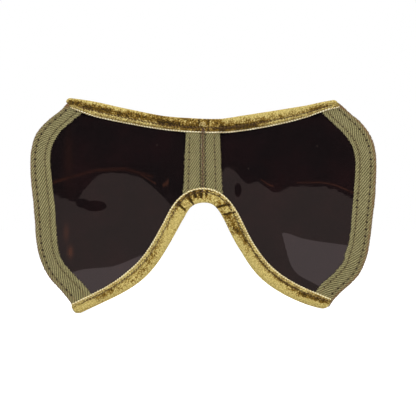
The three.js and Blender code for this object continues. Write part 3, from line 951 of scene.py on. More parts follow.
@dataclass(frozen=True)
class LensSheet:
    """A tinted lens: a thin sheet that bows a little forward between its bindings, with a few soft waves.

    The waves follow lines across the lens, each given by knots of x outward and z. Above the ridge the sheet
    leans back, at the shine line it snaps over until it mirrors the bright strip on the floor, and below the fade
    line it eases again. A dimple is x, z, width, height and depth; a glint, a spot of painted reflection, the same
    with its strength; a streak, a line of painted reflection, has the x and z of both ends and its strength.
    """

    half: Half
    ridge: Knots
    shine: Knots
    fade: Knots
    dimples: tuple[tuple[float, ...], ...]
    glints: tuple[tuple[float, ...], ...] = ()
    streaks: tuple[tuple[float, ...], ...] = ()
    inset: float = 2.6
    side_inset: float = 1.2
    fold_inset: float = 1.9
    grid: float = 0.9
    span_x: Span = (2.0, 86.0)
    span_z: Span = (-55.0, 52.0)
    rim_clear: float = 0.5
    slack: float = 0.02
    merge: float = 1e-5
    cover: float = 6.5
    ridge_margins: Span = (1.5, 6.0)
    side_ease: Span = (6.0, 1.4)
    fold_ease: Span = (-2.0, 3.5)
    steepest: float = 1.25
    snap: float = 0.22
    snap_half: float = 0.5
    snap_reach: float = 4.0
    fade_drop: float = 0.55
    fade_edge: Span = (-0.5, 1.0)
    sink: float = 0.0
    sink_span: Span = (48.0, 68.0)
    steps: int = 48
    streak_width: float = 0.62

    def rim(self) -> np.ndarray:
        """The sheet's outline, as x outward and z."""
        runs = []
        for edge, inset, limits in (
            (BROW, self.inset, ((SIDE, self.side_inset),)),
            (SIDE, self.side_inset, ((BROW, self.inset), (CHEEK, self.inset))),
            (CHEEK, self.inset, ((SIDE, self.side_inset),)),
        ):
            place, normal = edge.run(self.grid)
            spots = place + normal * inset
            keep = spots[:, 0] >= self.fold_inset
            for other, least in limits:
                keep &= (other.gap(spots) >= least - self.slack) & other.holds(spots)
            runs.append(spots[keep])
        return np.concatenate([runs[0], runs[1], runs[2][::-1]])

    def border(self, edge: EdgeLine, x: np.ndarray) -> np.ndarray:
        """Heights at x of the lens's visible border along a velvet edge."""
        place, normal = edge.run()
        return np.interp(x, *(place + normal * self.cover).T)

    def lean(self, x: np.ndarray, z: np.ndarray, ridge: np.ndarray) -> np.ndarray:
        """How fast the sheet comes forward with height, below its ridge."""
        shine, fade = smooth_line(self.shine, x), smooth_line(self.fade, x)
        share = np.minimum((ridge - z) / (ridge - shine), self.steepest)
        step = smoothstep(shine - z, -self.snap_half, self.snap_half) - 0.5
        share = share + self.snap * step * bump_at(z, shine, self.snap_reach)
        share = share - self.fade_drop * smoothstep(fade - z, *self.fade_edge)
        for across, up, wide, tall, depth in self.dimples:
            away = ((x - across) / wide) ** 2 + ((z - up) / tall) ** 2
            share = share - depth * bump_at(away, 0, 1)
        return mix(MIRROR.level(z), MIRROR.steep(z), share)

    def forward(self, x: np.ndarray, z: np.ndarray) -> np.ndarray:
        """How far the sheet bows forward at places given by x outward and z."""
        top, foot = self.border(BROW, x), self.border(CHEEK, x)
        ridge = np.clip(smooth_line(self.ridge, x), foot + self.ridge_margins[0], top - self.ridge_margins[1])
        reach = np.clip(z, foot, ridge)
        share = (np.arange(self.steps)[:, None] + 0.5) / self.steps
        below = self.lean(x, mix(foot, reach, share), ridge).mean(axis=0) * (reach - foot)
        rise = np.clip((z - ridge) / (top - ridge), 0, 1)
        above = below * (1 - rise**2) + MIRROR.level(ridge) * (top - ridge) * rise * (1 - rise)
        spots = np.stack([x, z], axis=1)
        bare = np.minimum(BROW.gap(spots), CHEEK.gap(spots)) - self.inset
        sunk = self.sink * smoothstep(x, *self.sink_span) * smoothstep(bare, 0, self.cover - self.inset)
        beside = smoothstep(SIDE.gap(spots), *(LAYERS.side_leg - ease for ease in self.side_ease))
        beside *= smoothstep(x, *(LAYERS.inner_leg + ease for ease in self.fold_ease))
        return (np.where(z > ridge, above, below) - sunk) * beside

    def build(self) -> bpy.types.Object:
        """Makes the sheet and puts it on its half."""
        rim = self.rim()
        xs, zs = np.meshgrid(*(np.arange(*span, self.grid) for span in (self.span_x, self.span_z)))
        spots = np.stack([xs.ravel(), zs.ravel()], axis=1)
        for edge, inset in ((BROW, self.inset), (SIDE, self.side_inset), (CHEEK, self.inset)):
            spots = spots[edge.holds(spots) & (edge.gap(spots) > inset + self.rim_clear)]
        spots = spots[spots[:, 0] > self.fold_inset + self.rim_clear]
        count = len(rim)
        border = [(i, (i + 1) % count) for i in range(count)]
        flat = [Vector(p) for p in np.concatenate([rim, spots])]
        places, _, faces, *_ = delaunay_2d_cdt(flat, border, [list(range(count))], 1, self.merge)
        found = np.array([tuple(p) for p in places])
        y = -self.forward(found[:, 0], found[:, 1])
        points = np.stack([found[:, 0] * self.half.value, y, found[:, 1]], axis=1)
        obj = make_piece(f"{self.half.side}_lens_sheet", points, faces)
        # Painted reflection: warm glints and streaks, stored for the finish.
        painted_reflection = np.zeros(len(found))
        for across, up, wide, tall, amount in self.glints:
            painted_reflection += amount * bump_at(found[:, 0], across, wide) * bump_at(found[:, 1], up, tall)
        for x0, z0, x1, z1, amount in self.streaks:
            start, run = np.array([x0, z0]), np.array([x1 - x0, z1 - z0])
            share = np.clip((found - start) @ run / (run @ run), 0, 1)
            away = np.linalg.norm(found - start - share[:, None] * run, axis=1)
            painted_reflection = np.maximum(painted_reflection, amount * bump_at(away, 0, self.streak_width))
        store(obj, PAINTED_REFLECTION, painted_reflection)
        thick = obj.modifiers.new("sheet thickness", "SOLIDIFY")
        thick.thickness = 2 * LAYERS.lens_half * MM
        thick.offset = 0
        dress(obj, LENS_FINISH)
        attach(obj, self.half.body)
        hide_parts(f"{self.half.side}_lens")
        return obj


@dataclass(frozen=True)
class StitchRow:
    """A row of machine stitches along a tape, with the needle holes between them as dark stubs of painted shade."""

    pitch: float = 3.55
    radius: float = 0.2
    span: Span = (0.05, 0.95)
    arc: float = 0.42
    sunk: float = 0.06
    bends: int = 7
    hole_rise: float = 0.3
    hole_sides: int = 8

    def sew(self, name: str, holes: np.ndarray, hole_radius: float, face: Face, body: str) -> None:
        """Makes the stitches between holes, and the holes as dark stubs of painted shade.

        Args:
            name: Name of the row, which is also that of the solid that it stands for.
            holes: Places of the needle holes on the cloth's surface.
            hole_radius: Radius of the needle holes.
            face: Which face the row shows on.
            body: The CAD body that the row rides on.
        """
        bundle = ThreadBundle(f"{name}_stitches")
        share = np.linspace(*self.span, self.bends)[:, None]
        lift = np.array([0.0, face.value, 0.0]) * (self.arc * np.sin(math.pi * share) - self.sunk)
        for start, end in zip(holes[:-1], holes[1:], strict=True):
            bundle.lay(start + (end - start) * share + lift, self.radius)
        stitches = bundle.build(STITCH_FINISH, "stitch_thread")
        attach(stitches, body)
        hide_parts(name)
        # The needle holes, as dark stubs of painted shade.
        pits = ThreadBundle(f"{name}_needle_holes", sides=self.hole_sides)
        for hole in holes:
            pits.prick(hole, face, self.hole_rise, hole_radius)
        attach(pits.build(HOLE_SHADE_FINISH, "stitch_thread"), body)


@dataclass(frozen=True)
class TwillTape:
    """A twill tape folded over an edge of the lens, with a front leg, a rounded fold and a back leg.

    Each row of stitching is its word in node names, how far in from the fold it is and its needle holes' radius.
    """

    half: Half
    leg: float
    rows: tuple[tuple[str, float, float], ...]
    name: str
    flat_size: Span
    stitch: StitchRow = StitchRow()
    step: float = 0.6
    fold_round: float = 1.0
    thickness: float = 0.8
    dimple: float = 0.22
    dimple_spread: float = 0.62
    furrow: float = 0.09
    furrow_spread: float = 0.7
    roundness: float = 2.2
    wobble: float = 0.18
    worn_from: float = 0.35
    worn_reach: float = 1.15
    # Painted shade along each sunk stitch row.
    row_wear: float = 0.3
    row_wear_spread: float = 0.55
    cover: float = 7.6
    corner_cover: float = 4.6
    corner_span: Span = (50.0, 64.0)
    sway_noise: Span = (5.0, 9.7)
    sway_reach: float = 2.0
    edge_noise: Span = (2.2, 4.1)
    edge_reach: float = 1.0
    edge_lane: float = 8.0
    fray_seed: int = 11
    fray_density: float = 1.6
    fold_fray: Span = (0.12, -0.55)
    fray_lengths: Span = (0.2, 0.6)
    fray_drift: float = 0.7
    fray_rise: Span = (0.1, 0.9)
    fray_bends: Knots = ((-0.3, 0.0), (0.5, 0.06), (1.0, 0.0))
    fray_radius: float = 0.08
    fold_steps: tuple[float, ...] = (0, 0.04, 0.14, 0.3, 0.5, 0.75)
    leg_from: float = 1.05
    leg_step: float = 0.45
    leg_margin: float = 0.2

    def edge(self) -> EdgeLine:
        """The edge that the tape is folded over."""
        raise NotImplementedError

    def stations(self) -> np.ndarray:
        """Distances along the edge where the tape has its sections."""
        raise NotImplementedError

    def across(self) -> int:
        """1 where the way in from the edge is to the right as seen from the front, and -1 to the left."""
        raise NotImplementedError

    def limits(self) -> list[tuple[Vector, Vector]]:
        """Places and directions of the cuts that end the tape under the velvet."""
        return []

    def spread(self, s: np.ndarray) -> np.ndarray:
        """The tape's width along it, as a share of its full width."""
        return np.ones(len(s))

    def drawn(self, u: np.ndarray, s: np.ndarray) -> np.ndarray:
        """How far in from the edge places lie that are u in from the tape's fold and s along it."""
        return u * self.spread(s)[:, None]

    def holes_from(self) -> float:
        """The distance along the edge where the needle holes are counted from."""
        return float(self.stations()[0])

    def relief(self, u: np.ndarray, s: np.ndarray) -> np.ndarray:
        """How far the cloth stands out at places given by u in from the edge and s along it."""
        into = (s - self.holes_from() + self.stitch.pitch / 2) % self.stitch.pitch - self.stitch.pitch / 2
        out = np.zeros(np.broadcast(u, s).shape)
        for _, row, _ in self.rows:
            out -= self.furrow * bump_at(u, row, self.furrow_spread)
            out -= self.dimple * bump_at(u, row, self.dimple_spread) * bump_at(into, 0, self.dimple_spread)
        return out

    def surface(self, u: np.ndarray, s: np.ndarray) -> np.ndarray:
        """Half the folded tape's thickness at places given by u and s."""
        near = np.clip((self.fold_round - u) / self.fold_round, 0, 1)
        return LAYERS.tape_half * (1 - near**self.roundness) ** (1 / self.roundness) + self.relief(u, s)

    def rubbed(self, u: np.ndarray, s: np.ndarray) -> np.ndarray:
        """How much wear the cloth has along its fold, plus painted shade along the sunk stitch rows."""
        out = 1 - smoothstep(u, self.worn_from, self.worn_reach)
        for _, row, _ in self.rows:
            # Painted shade in the stitch rows' furrows.
            out = out + self.row_wear * bump_at(u, row, self.row_wear_spread)
        return np.clip(out, 0, 1)

    def bare(self, points: np.ndarray) -> np.ndarray:
        """Which points the velvet leaves bare."""
        spots = np.stack([np.abs(points[:, 0]), points[:, 2]], axis=1)
        brow_cover = mix(self.cover, self.corner_cover, smoothstep(spots[:, 0], *self.corner_span))
        out = (BROW.gap(spots) > brow_cover) & (CHEEK.gap(spots) > self.cover)
        return out & CHEEK.holds(spots) & BROW.holds(spots)

    def frayed(self) -> list[tuple[float, float]]:
        """Where the tape is frayed, as u in from the edge and which way and how far the fibres point."""
        return [(self.leg, 1.0), self.fold_fray]

    def fray(self) -> None:
        """Teases loose fibres out of the tape's lens edge and its fold."""
        seed = self.fray_seed + 2 * self.half.value + len(self.name)
        chance = np.random.default_rng(seed)
        bundle = ThreadBundle(f"{self.half.side}_{self.name}_fray", sides=3)
        first, last = self.stations()[[0, -1]]
        count = int(self.fray_density * (last - first))
        for face in Face:
            for root, way in self.frayed():
                s = chance.uniform(first, last, count)
                reach = way * chance.uniform(*self.fray_lengths, count)
                drift = chance.uniform(-self.fray_drift, self.fray_drift, count)
                rise = chance.uniform(*self.fray_rise, count) * self.surface(np.full(count, root), s)
                paths = []
                for share, lift in self.fray_bends:
                    u = self.drawn((root + reach * share)[:, None], s)
                    y = face.value * (rise + lift)[:, None]
                    paths.append(place_sections(self.edge(), s + drift * share, u, y, self.half.value)[:, 0])
                fibres = np.stack(paths, axis=1)
                for fibre in fibres[self.bare(fibres[:, 0])]:
                    bundle.lay(fibre, self.fray_radius)
        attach(bundle.build(FIBRE_FINISH, "tape"), self.half.body)

    def holes(self, row: float, face: Face) -> np.ndarray:
        """Places of a row's needle holes that the velvet leaves bare."""
        s = np.arange(self.holes_from(), self.stations()[-1], self.stitch.pitch)
        u = np.full((len(s), 1), row)
        y = face.value * self.surface(u, s[:, None])
        points = place_sections(self.edge(), s, self.drawn(u, s), y, self.half.value)[:, 0]
        return points[self.bare(points)]

    def waver(self, s: np.ndarray, length: float, seed: float, lane: float) -> np.ndarray:
        """Smooth noise along the tape, as a column.

        Args:
            s: Distances along the edge.
            length: Length of the noise's features.
            seed: Moves the pattern, so that the halves differ.
            lane: Moves the pattern too, so that the tape's two edges differ.

        Returns:
            A value from about -1 to 1 for each distance.
        """
        return np.array([[noise.noise(Vector((d / length, self.half.value * seed, lane)))] for d in s])

    def build(self) -> bpy.types.Object:
        """Makes the tape and its stitching and puts them on their half."""
        s = self.stations()
        straight = np.arange(self.leg_from, self.leg - self.leg_margin, self.leg_step)
        legs = np.concatenate([self.fold_steps, straight, [self.leg]])
        u = np.concatenate([legs[::-1], legs[1:], [self.leg, self.thickness, self.thickness, self.leg]])
        sign = np.concatenate([-np.ones(len(legs)), np.ones(len(legs) - 1), [1, 1, -1, -1]])
        inner = np.arange(len(u)) >= len(u) - 4
        place_u, place_s = np.meshgrid(u, s)
        half_y = np.where(inner, LAYERS.tape_slot, self.surface(place_u, place_s))
        sway = self.waver(s, *self.sway_noise, self.leg) * bump_at(place_u, 0, self.sway_reach)
        edge = self.waver(s, *self.edge_noise, self.leg + self.edge_lane)
        shift = self.wobble * (sway + edge * bump_at(place_u, self.leg, self.edge_reach))
        points = place_sections(self.edge(), s, self.drawn(place_u, s) + shift, sign * half_y, self.half.value)
        obj = make_piece(f"{self.half.side}_{self.name}_cloth", points.reshape(-1, 3), strip_faces(len(s), len(u)))
        cloth = np.stack([self.across() * place_u, -place_s, np.broadcast_to(sign, place_u.shape)], axis=2)
        store(obj, CLOTH, cloth.reshape(-1, 3))
        store(obj, WEAR_AND_SHADE, self.rubbed(place_u, place_s).ravel())
        self.trim(obj)
        dress(obj, TAPE_FINISH)
        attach(obj, self.half.body)
        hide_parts(f"{self.half.side}_{self.name}")
        self.fray()
        for word, row, hole_radius in self.rows:
            for face in Face:
                node = f"{self.half.side}_{word}_{face.word}_thread"
                self.stitch.sew(node, self.holes(row, face), hole_radius, face, self.half.body)
        return obj

    def trim(self, obj: bpy.types.Object) -> None:
        """Cuts the tape off under the velvet and closes its ends."""
        cut = bmesh.new()
        cut.from_mesh(obj.data)
        for place, way in self.limits():
            everything = [*cut.verts, *cut.edges, *cut.faces]
            found = bmesh.ops.bisect_plane(cut, geom=everything, plane_co=place, plane_no=way, clear_outer=True)
            rim = [e for e in found["geom_cut"] if isinstance(e, bmesh.types.BMEdge)]
            bmesh.ops.holes_fill(cut, edges=rim)
        bmesh.ops.recalc_face_normals(cut, faces=cut.faces)
        cut.to_mesh(obj.data)
        cut.free()


@dataclass(frozen=True)
class SideTape(TwillTape):
    """The tape over a lens's outer edge, with a narrow ridge along its fold.

    Each cut is how far back from the velvet edge's end it is and how far in from that edge.
    """

    hem: float = 1.15
    # Painted shade in the dent beside the hem.
    hem_wear: float = 0.8
    hem_dent: float = 0.16
    bleach: float = 0.38
    hem_wear_spread: float = 0.3
    hem_dent_spread: float = 0.25
    bleach_span: Span = (0.2, 1.8)
    corner_wear: Span = (0.5, 3.0)
    corner_run: Span = (2.0, 8.0)
    run_past: Span = (9.0, 7.0)
    brow_cut: Span = (3.0, 1.9)
    cheek_cut: Span = (4.0, 3.1)
    fold_line: Knots = ((0, 0),)
    lens_line: Knots = ((0, LAYERS.side_leg),)
    worn_reach: float = 0.8

    def edge(self) -> EdgeLine:
        """The edge that the tape is folded over."""
        return SIDE

    def stations(self) -> np.ndarray:
        """Distances along the edge where the tape has its sections."""
        before, after = self.run_past
        return np.arange(OUTLINE.side_run_in - before, SIDE.length + after, self.step)

    def across(self) -> int:
        """The way in from the edge points at the fold."""
        return -self.half.value

    def drawn(self, u: np.ndarray, s: np.ndarray) -> np.ndarray:
        """The fold and the lens edge each follow their own line, as the tape was pulled while it was sewn."""
        along = s - OUTLINE.side_run_in
        fold, lens = (smooth_line(line, along)[:, None] for line in (self.fold_line, self.lens_line))
        return fold + (lens - fold) * u / self.leg

    def rubbed(self, u: np.ndarray, s: np.ndarray) -> np.ndarray:
        """Adds painted shade in the dent beside the hem, the wear at the corner under the brow ribbon and the bleached
        lens edge.
        """
        worn = super().rubbed(u, s) + self.hem_wear * bump_at(u, self.hem, self.hem_wear_spread)
        along = s - OUTLINE.side_run_in
        worn = worn + (1 - smoothstep(u, *self.corner_wear)) * (1 - smoothstep(along, *self.corner_run))
        inner_row = self.rows[-1][1]
        return np.clip(worn - self.bleach * smoothstep(u - inner_row, *self.bleach_span), -1, 1)

    def relief(self, u: np.ndarray, s: np.ndarray) -> np.ndarray:
        """Adds the dent beside the folded hem."""
        return super().relief(u, s) - self.hem_dent * bump_at(u, self.hem, self.hem_dent_spread)

    def limits(self) -> list[tuple[Vector, Vector]]:
        """The cuts under the brow velvet and under the cheek velvet."""
        cuts = []
        for edge, (back, inset) in ((BROW, self.brow_cut), (CHEEK, self.cheek_cut)):
            place, normal = edge.at(np.array([edge.length - back]))
            spot, way = (place + normal * inset)[0] * MM, -normal[0]
            cuts.append(tuple(Vector((x * self.half.value, 0, z)) for x, z in (spot, way)))
        return cuts


@dataclass(frozen=True)
class InnerTape(TwillTape):
    """The tape over a lens's edge beside the fold."""

    top: float = 39.2
    foot: float = 2.8
    top_share: float = 0.82
    low_share: float = 0.945
    low: float = 30.0
    low_ease: float = 4.0
    sections: int = 62
    worn_reach: float = 0.45

    def edge(self) -> EdgeLine:
        """The edge that the tape is folded over."""
        line = np.array([[LAYERS.fold_gap, self.top], [LAYERS.fold_gap, self.foot]])
        return EdgeLine([line], -1)

    def stations(self) -> np.ndarray:
        """Distances along the edge where the tape has its sections."""
        return np.linspace(0, self.top - self.foot, self.sections)

    def spread(self, s: np.ndarray) -> np.ndarray:
        """The tape is drawn in towards the brow, and spreads under the cheek ribbon."""
        return np.interp(s, (0, self.low, self.low + self.low_ease), (self.top_share, self.low_share, 1.0))

    def frayed(self) -> list[tuple[float, float]]:
        """Only the lens edge is frayed, since the seam covers the fold."""
        return super().frayed()[:1]

    def across(self) -> int:
        """The way in from the edge points away from the fold."""
        return self.half.value


@dataclass(frozen=True)
class Crease:
    """A fold pressed across a ribbon, from a distance along its edge."""

    place: float
    depth: float
    spread: float = 0.45
    lean: float = 0.0
    start: float = -1.2
    ease: float = 1.2

    def at(self, u: np.ndarray, s: np.ndarray, widen: float = 1.0) -> np.ndarray:
        """How strongly the crease is felt at u in from the edge and s along it, from 0 to 1."""
        across = bump_at(s - self.lean * u, self.place, self.spread * widen)
        return across * smoothstep(u, self.start, self.start + self.ease)


@dataclass(frozen=True)
class NapStreak:
    """A stretch of velvet darkened by pressed nap and painted shade, or lightened by brushed nap and painted highlight
    where its depth is below 0.

    It runs from one place to another, each given as a distance along the ribbon's edge and one in from it.
    """

    start: Span
    end: Span
    depth: float
    spread: float = 1.2
    softness: float = 2.0

    def at(self, u: np.ndarray, s: np.ndarray) -> np.ndarray:
        """How pressed the nap is, with its painted shade, at u in from the edge and s along it."""
        run_s, run_u = np.subtract(self.end, self.start)
        off_s, off_u = s - self.start[0], u - self.start[1]
        share = np.clip((off_s * run_s + off_u * run_u) / (run_s**2 + run_u**2), 0, 1)
        away = np.hypot((off_s - share * run_s) / self.softness, off_u - share * run_u)
        return self.depth * bump_at(away, 0, self.spread)


@dataclass(frozen=True)
class VelvetRibbon:
    """A velvet ribbon folded over a whole edge, in one strip across the fold: a plump roll, a sewn channel and
    a low lip that ends in a pale selvedge."""

    name: str
    edge: EdgeLine
    full_width: float
    widths: Knots
    lifts: Knots
    creases: tuple[Crease, ...]
    streaks: tuple[NapStreak, ...]
    overrun: Span
    end_skew: Span
    corner_round: float
    seed: float
    trim: Finish
    row_margin: float
    # Painted highlight on the roll's crown and painted shade towards the channel and lip, by place across the ribbon.
    light_across: Knots = ((0.2, -0.22), (0.55, -0.1), (0.9, 0.12), (1.25, 0.14))
    row_wander: float = 0.1
    skew_reach: float = 8.0
    skew_probe: float = 0.5
    flat_width: float = 17.0
    step: float = 0.55
    nose_step: float = 0.3
    nose_reach: float = 28.0
    roll_depth: float = 2.2
    crown: float = 2.6
    channel: float = 1.95
    lip: float = 2.25
    selvedge: float = 0.5
    end_round: float = 1.4
    nap: float = 0.11
    plump: float = 0.16
    stitch_pitch: float = 1.7
    stitch_radius: float = 0.24
    selvedge_radius: float = 0.38
    bead_pitch: float = 1.5
    bead_steps: int = 4
    bead_rise: float = 0.16
    bead_sway: float = 0.1
    selvedge_share: float = 0.75
    selvedge_out: float = 0.15
    selvedge_margin: float = 0.6
    stitch_margin: float = 4.0
    stitch_bends: int = 6
    stitch_gaps: Span = (0.2, 0.1)
    stitch_slant: Span = (-0.15, 0.5)
    stitch_arc: float = 0.32
    stitch_sunk: float = 0.04
    blend_reach: float = 4.5
    end_steps: tuple[float, ...] = (0.0, 0.015, 0.06, 0.14, 0.25, 0.4, 0.6, 0.8)
    end_least: float = 0.003
    roll_steps: tuple[float, ...] = (0, 0.008, 0.025, 0.05, 0.085, 0.125)
    leg_span: Span = (0.17, 1.0)
    leg_points: int = 22
    crown_share: float = 0.45
    roundness: float = 2.3
    lip_share: float = 0.9
    edge_span: Span = (0.5, 1.0)
    crease_span: Span = (0.2, 0.8)
    pull: float = 0.14
    pull_spread: float = 0.7
    least: float = 0.02
    row_wave: float = 1.1
    # Painted shade in the creases.
    crease_shade: float = 1.7
    crease_darkest: float = 1.1
    crease_core: float = 0.9
    crease_halo: Span = (3.0, 0.12)
    hollow_span: Span = (-0.4, 1.0)
    slot_share: float = 0.7
    slot_clear: float = 0.98
    corner_lean: float = 1.25
    nap_scale: float = 1.0
    plump_scale: float = 4.5
    fuzz_span: Span = (0.3, 1.5)
    face_shift: float = 20.0

    def stations(self) -> np.ndarray:
        """Distances along the edge where the ribbon has its sections."""
        left, right = self.reach
        middle = np.arange(-self.nose_reach, self.nose_reach, self.nose_step)
        runs = [np.arange(-left, -self.nose_reach, self.step), middle, np.arange(self.nose_reach, right, self.step)]
        near = np.array(self.end_steps)
        for size in (self.end_round, self.corner_round):
            runs += [size * near - left, right - size * near]
        return np.unique(np.round(np.concatenate(runs), 3))

    @property
    def reach(self) -> tuple[float, float]:
        """Distance from the fold to the ribbon's left end and to its right end."""
        return self.edge.length + self.overrun[0], self.edge.length + self.overrun[1]

    def width(self, s: np.ndarray) -> np.ndarray:
        """The ribbon's width along its edge."""
        return smooth_line(self.widths, s)

    def nearing(self, s: np.ndarray, size: float) -> np.ndarray:
        """0 up to a size from the ribbon's nearer end, then rising to 1 at the end."""
        left, right = self.reach
        return np.clip((np.maximum(s - right, -left - s) + size) / size, 0, 1)

    def ends(self, s: np.ndarray) -> np.ndarray:
        """How full the ribbon is, which falls off in a quarter round at both ends."""
        return np.sqrt(np.clip(1 - self.nearing(s, self.end_round) ** 2, self.end_least, 1))

    def row(self, s: np.ndarray) -> np.ndarray:
        """How far in from the edge the sewn channel lies."""
        width = self.width(s)
        wander = self.row_wander * np.sin(self.row_wave * s + self.seed)
        return width - self.row_margin * width / self.full_width + wander

    def slot(self, s: np.ndarray) -> np.ndarray:
        """Half the width of the slot between the ribbon's legs."""
        return slot_half(self.edge, s, self.width(s), self.roll_depth)

    def swell(self, u: np.ndarray, s: np.ndarray) -> np.ndarray:
        """Half the ribbon's thickness at places given by u in from the edge and s along it."""
        width, row, slot = (f(s[:, 0])[:, None] for f in (self.width, self.row, self.slot))
        top = self.crown_share * row
        rising = np.clip(u / top, 0, 1)
        falling = np.clip((u - top) / (row - top), 0, 1)
        past = np.clip((u - row) / (width - row), 0, 1)
        out = self.crown * (1 - (1 - rising) ** self.roundness) ** (1 / self.roundness)
        out -= (self.crown - self.channel) * np.sin(math.pi / 2 * falling) ** 2
        out += (self.lip - self.channel) * np.sin(math.pi * np.clip(past / self.lip_share, 0, 1))
        out = mix(out, slot + self.selvedge, smoothstep(past, *self.edge_span))
        for crease in self.creases:
            out -= crease.depth * crease.at(u, s) * (1 - smoothstep(past, *self.crease_span))
        stitched = 0.5 + 0.5 * np.cos(2 * math.pi * s / self.stitch_pitch)
        out -= self.pull * bump_at(u, row, self.pull_spread) * stitched
        return np.maximum(out, self.least) * self.ends(s)

    def front_limit(self, x: np.ndarray) -> np.ndarray:
        """How far forward the ribbon may stand at x, so that the halves clear each other when folded shut."""
        return -LAYERS.seam_y + np.abs(x) * math.tan(math.radians(LAYERS.fold_wedge))

    def hollow(self, u: np.ndarray, s: np.ndarray) -> np.ndarray:
        """How pressed the nap is, with painted light added: painted highlight on the roll's crown, painted shade
        towards the channel, along the streaks and in the creases; from 0 to 1, and below 0 where it is lit.
        """
        out = np.interp(u / self.row(s[:, 0])[:, None], *zip(*self.light_across, strict=True))
        felt = [streak.at(u, s) for streak in self.streaks]
        out = out + np.max(felt, axis=0, initial=0) + np.min(felt, axis=0, initial=0)
        # Painted shade in each crease, with a soft halo of it around.
        for crease in self.creases:
            dark = min(self.crease_darkest, self.crease_shade * crease.depth)
            widen, share = self.crease_halo
            out = out + dark * crease.at(u, s, self.crease_core) + share * dark * crease.at(u, s, widen)
        return np.clip(out, *self.hollow_span)

    def lay(self, s: np.ndarray, u: np.ndarray, draw: np.ndarray | float = 0.0) -> np.ndarray:
        """Places of the flat ribbon, in the middle plane.

        Args:
            s: Distance along the edge of each section.
            u: How far in from the edge each point of each section lies.
            draw: How far each point is drawn in further, as at the rounded corners.

        Returns:
            Points in millimetres, as an array of sections by points by three.
        """
        share = u / self.width(s)[:, None]
        lift = smooth_line(self.lifts, s)[:, None]
        flat = place_sections(self.edge, s, u + draw + lift * (1 - share), np.zeros(u.shape))
        way = np.where(s < 0, -1.0, 1.0)
        outward = self.edge.at(s + self.skew_probe * way)[0] - self.edge.at(s)[0]
        skew = np.where(s < 0, *self.end_skew) * smoothstep(self.nearing(s, self.skew_reach), 0, 1)
        shift = (skew[:, None] * share)[..., None] * (outward / np.linalg.norm(outward, axis=1)[:, None])[:, None]
        flat[..., [0, 2]] += shift
        return flat

    def build(self) -> bpy.types.Object:
        """Makes the ribbon, its selvedges and its stitching."""
        s = self.stations()
        legs = np.concatenate([self.roll_steps, np.linspace(*self.leg_span, self.leg_points)])
        width = self.width(s)[:, None]
        u_outer = np.concatenate([legs[::-1], legs[1:]])[None] * width
        deep = np.minimum(self.roll_depth, self.slot_share * width)
        u = np.concatenate([u_outer, width, deep, deep, width], axis=1)
        near = self.nearing(s, self.corner_round)
        corner = (self.corner_round * (1 - np.sqrt(1 - near**2)))[:, None]
        signs = np.concatenate([-np.ones(len(legs)), np.ones(len(legs) - 1), [1, 1, -1, -1]])
        inner = np.arange(len(signs)) >= len(signs) - 4
        along = np.broadcast_to(s[:, None], u.shape)
        out = self.swell(u, s[:, None])
        slot = (self.slot(s) * self.ends(s) * self.slot_clear)[:, None]
        flat = self.lay(s, u, corner * (1 - self.corner_lean * u / width)).reshape(-1, 3)
        spots = flat + np.stack([np.zeros(len(flat)), (signs * out).ravel(), np.zeros(len(flat))], axis=1)
        fuzz = self.nap * rough(spots, self.nap_scale, self.seed)
        fuzz = fuzz + self.plump * rough(spots, self.plump_scale, self.seed + 3)
        out = np.where(inner, slot, out + fuzz.reshape(u.shape) * smoothstep(out, *self.fuzz_span))
        limit = self.front_limit(flat[:, 0].reshape(u.shape))
        out = np.where((signs < 0) & ~inner, np.minimum(out, limit), out)
        flat[:, 1] = (signs * out).ravel()
        obj = make_piece(f"{self.name}_ribbon", flat, strip_faces(len(s), len(signs)))
        past = (u - self.row(s)[:, None]) * self.full_width / width
        sides = np.broadcast_to(signs * self.face_shift, u.shape)
        store(obj, CLOTH, np.stack([past, along, sides], axis=2).reshape(-1, 3))
        # Pressed nap and painted light, stored for the finish.
        store(obj, PAINTED_LIGHT_AND_NAP, self.hollow(u, s[:, None]).ravel())
        dress(obj, VELVET_FINISH)
        bend_across(obj)
        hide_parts(*(f"{half.side}_{self.name}_velvet" for half in Half))
        for face in Face:
            self.edge_with_selvedge(face)
            self.sew(face)
        return obj

    def spot(self, s: np.ndarray, u: np.ndarray, rise: np.ndarray, face: Face) -> np.ndarray:
        """Places on a face of the ribbon, at u in from the edge and rise out from the middle plane."""
        points = self.lay(s, u[:, None])[:, 0]
        if face is Face.FRONT:
            rise = np.minimum(rise, self.front_limit(points[:, 0]))
        points[:, 1] = face.value * rise
        return points

    def edge_with_selvedge(self, face: Face) -> None:
        """Lays the pale beaded cord along the ribbon's lens edge."""
        left, right = self.reach
        s = np.arange(self.selvedge_margin - left, right - self.selvedge_margin, self.bead_pitch / self.bead_steps)
        turn = 2 * math.pi * s / self.bead_pitch
        rise = self.slot(s) + self.selvedge * self.selvedge_share + self.bead_rise * np.cos(turn)
        u = self.width(s) + self.selvedge_out + self.bead_sway * np.sin(turn)
        cord = ThreadBundle(f"{self.name}_{face.word}_selvedge")
        cord.lay(self.spot(s, u, rise, face), self.selvedge_radius)
        bend_across(cord.build(self.trim, "velvet"))

    def sew(self, face: Face) -> None:
        """Lays the stitches in the sewn channel."""
        reach = self.edge.length - self.stitch_margin
        bundle = ThreadBundle(f"{self.name}_{face.word}_stitches", sides=5)
        before, after = self.stitch_gaps
        slant = np.linspace(*self.stitch_slant, self.stitch_bends)
        arch = self.stitch_arc * np.sin(np.linspace(0, math.pi, self.stitch_bends)) - self.stitch_sunk
        for start in np.arange(-reach, reach, self.stitch_pitch):
            s = np.linspace(start + before, start + self.stitch_pitch - after, self.stitch_bends)
            u = self.row(s) + slant * self.width(s) / self.full_width
            rise = self.swell(u[:, None], s[:, None])[:, 0] + arch
            bundle.lay(self.spot(s, u, rise, face), self.stitch_radius)
        obj = bundle.build(VELVET_STITCH_FINISH, "stitch_thread")
        bend_across(obj)
        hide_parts(*(f"{half.side}_{self.name}_{face.word}_thread" for half in Half))


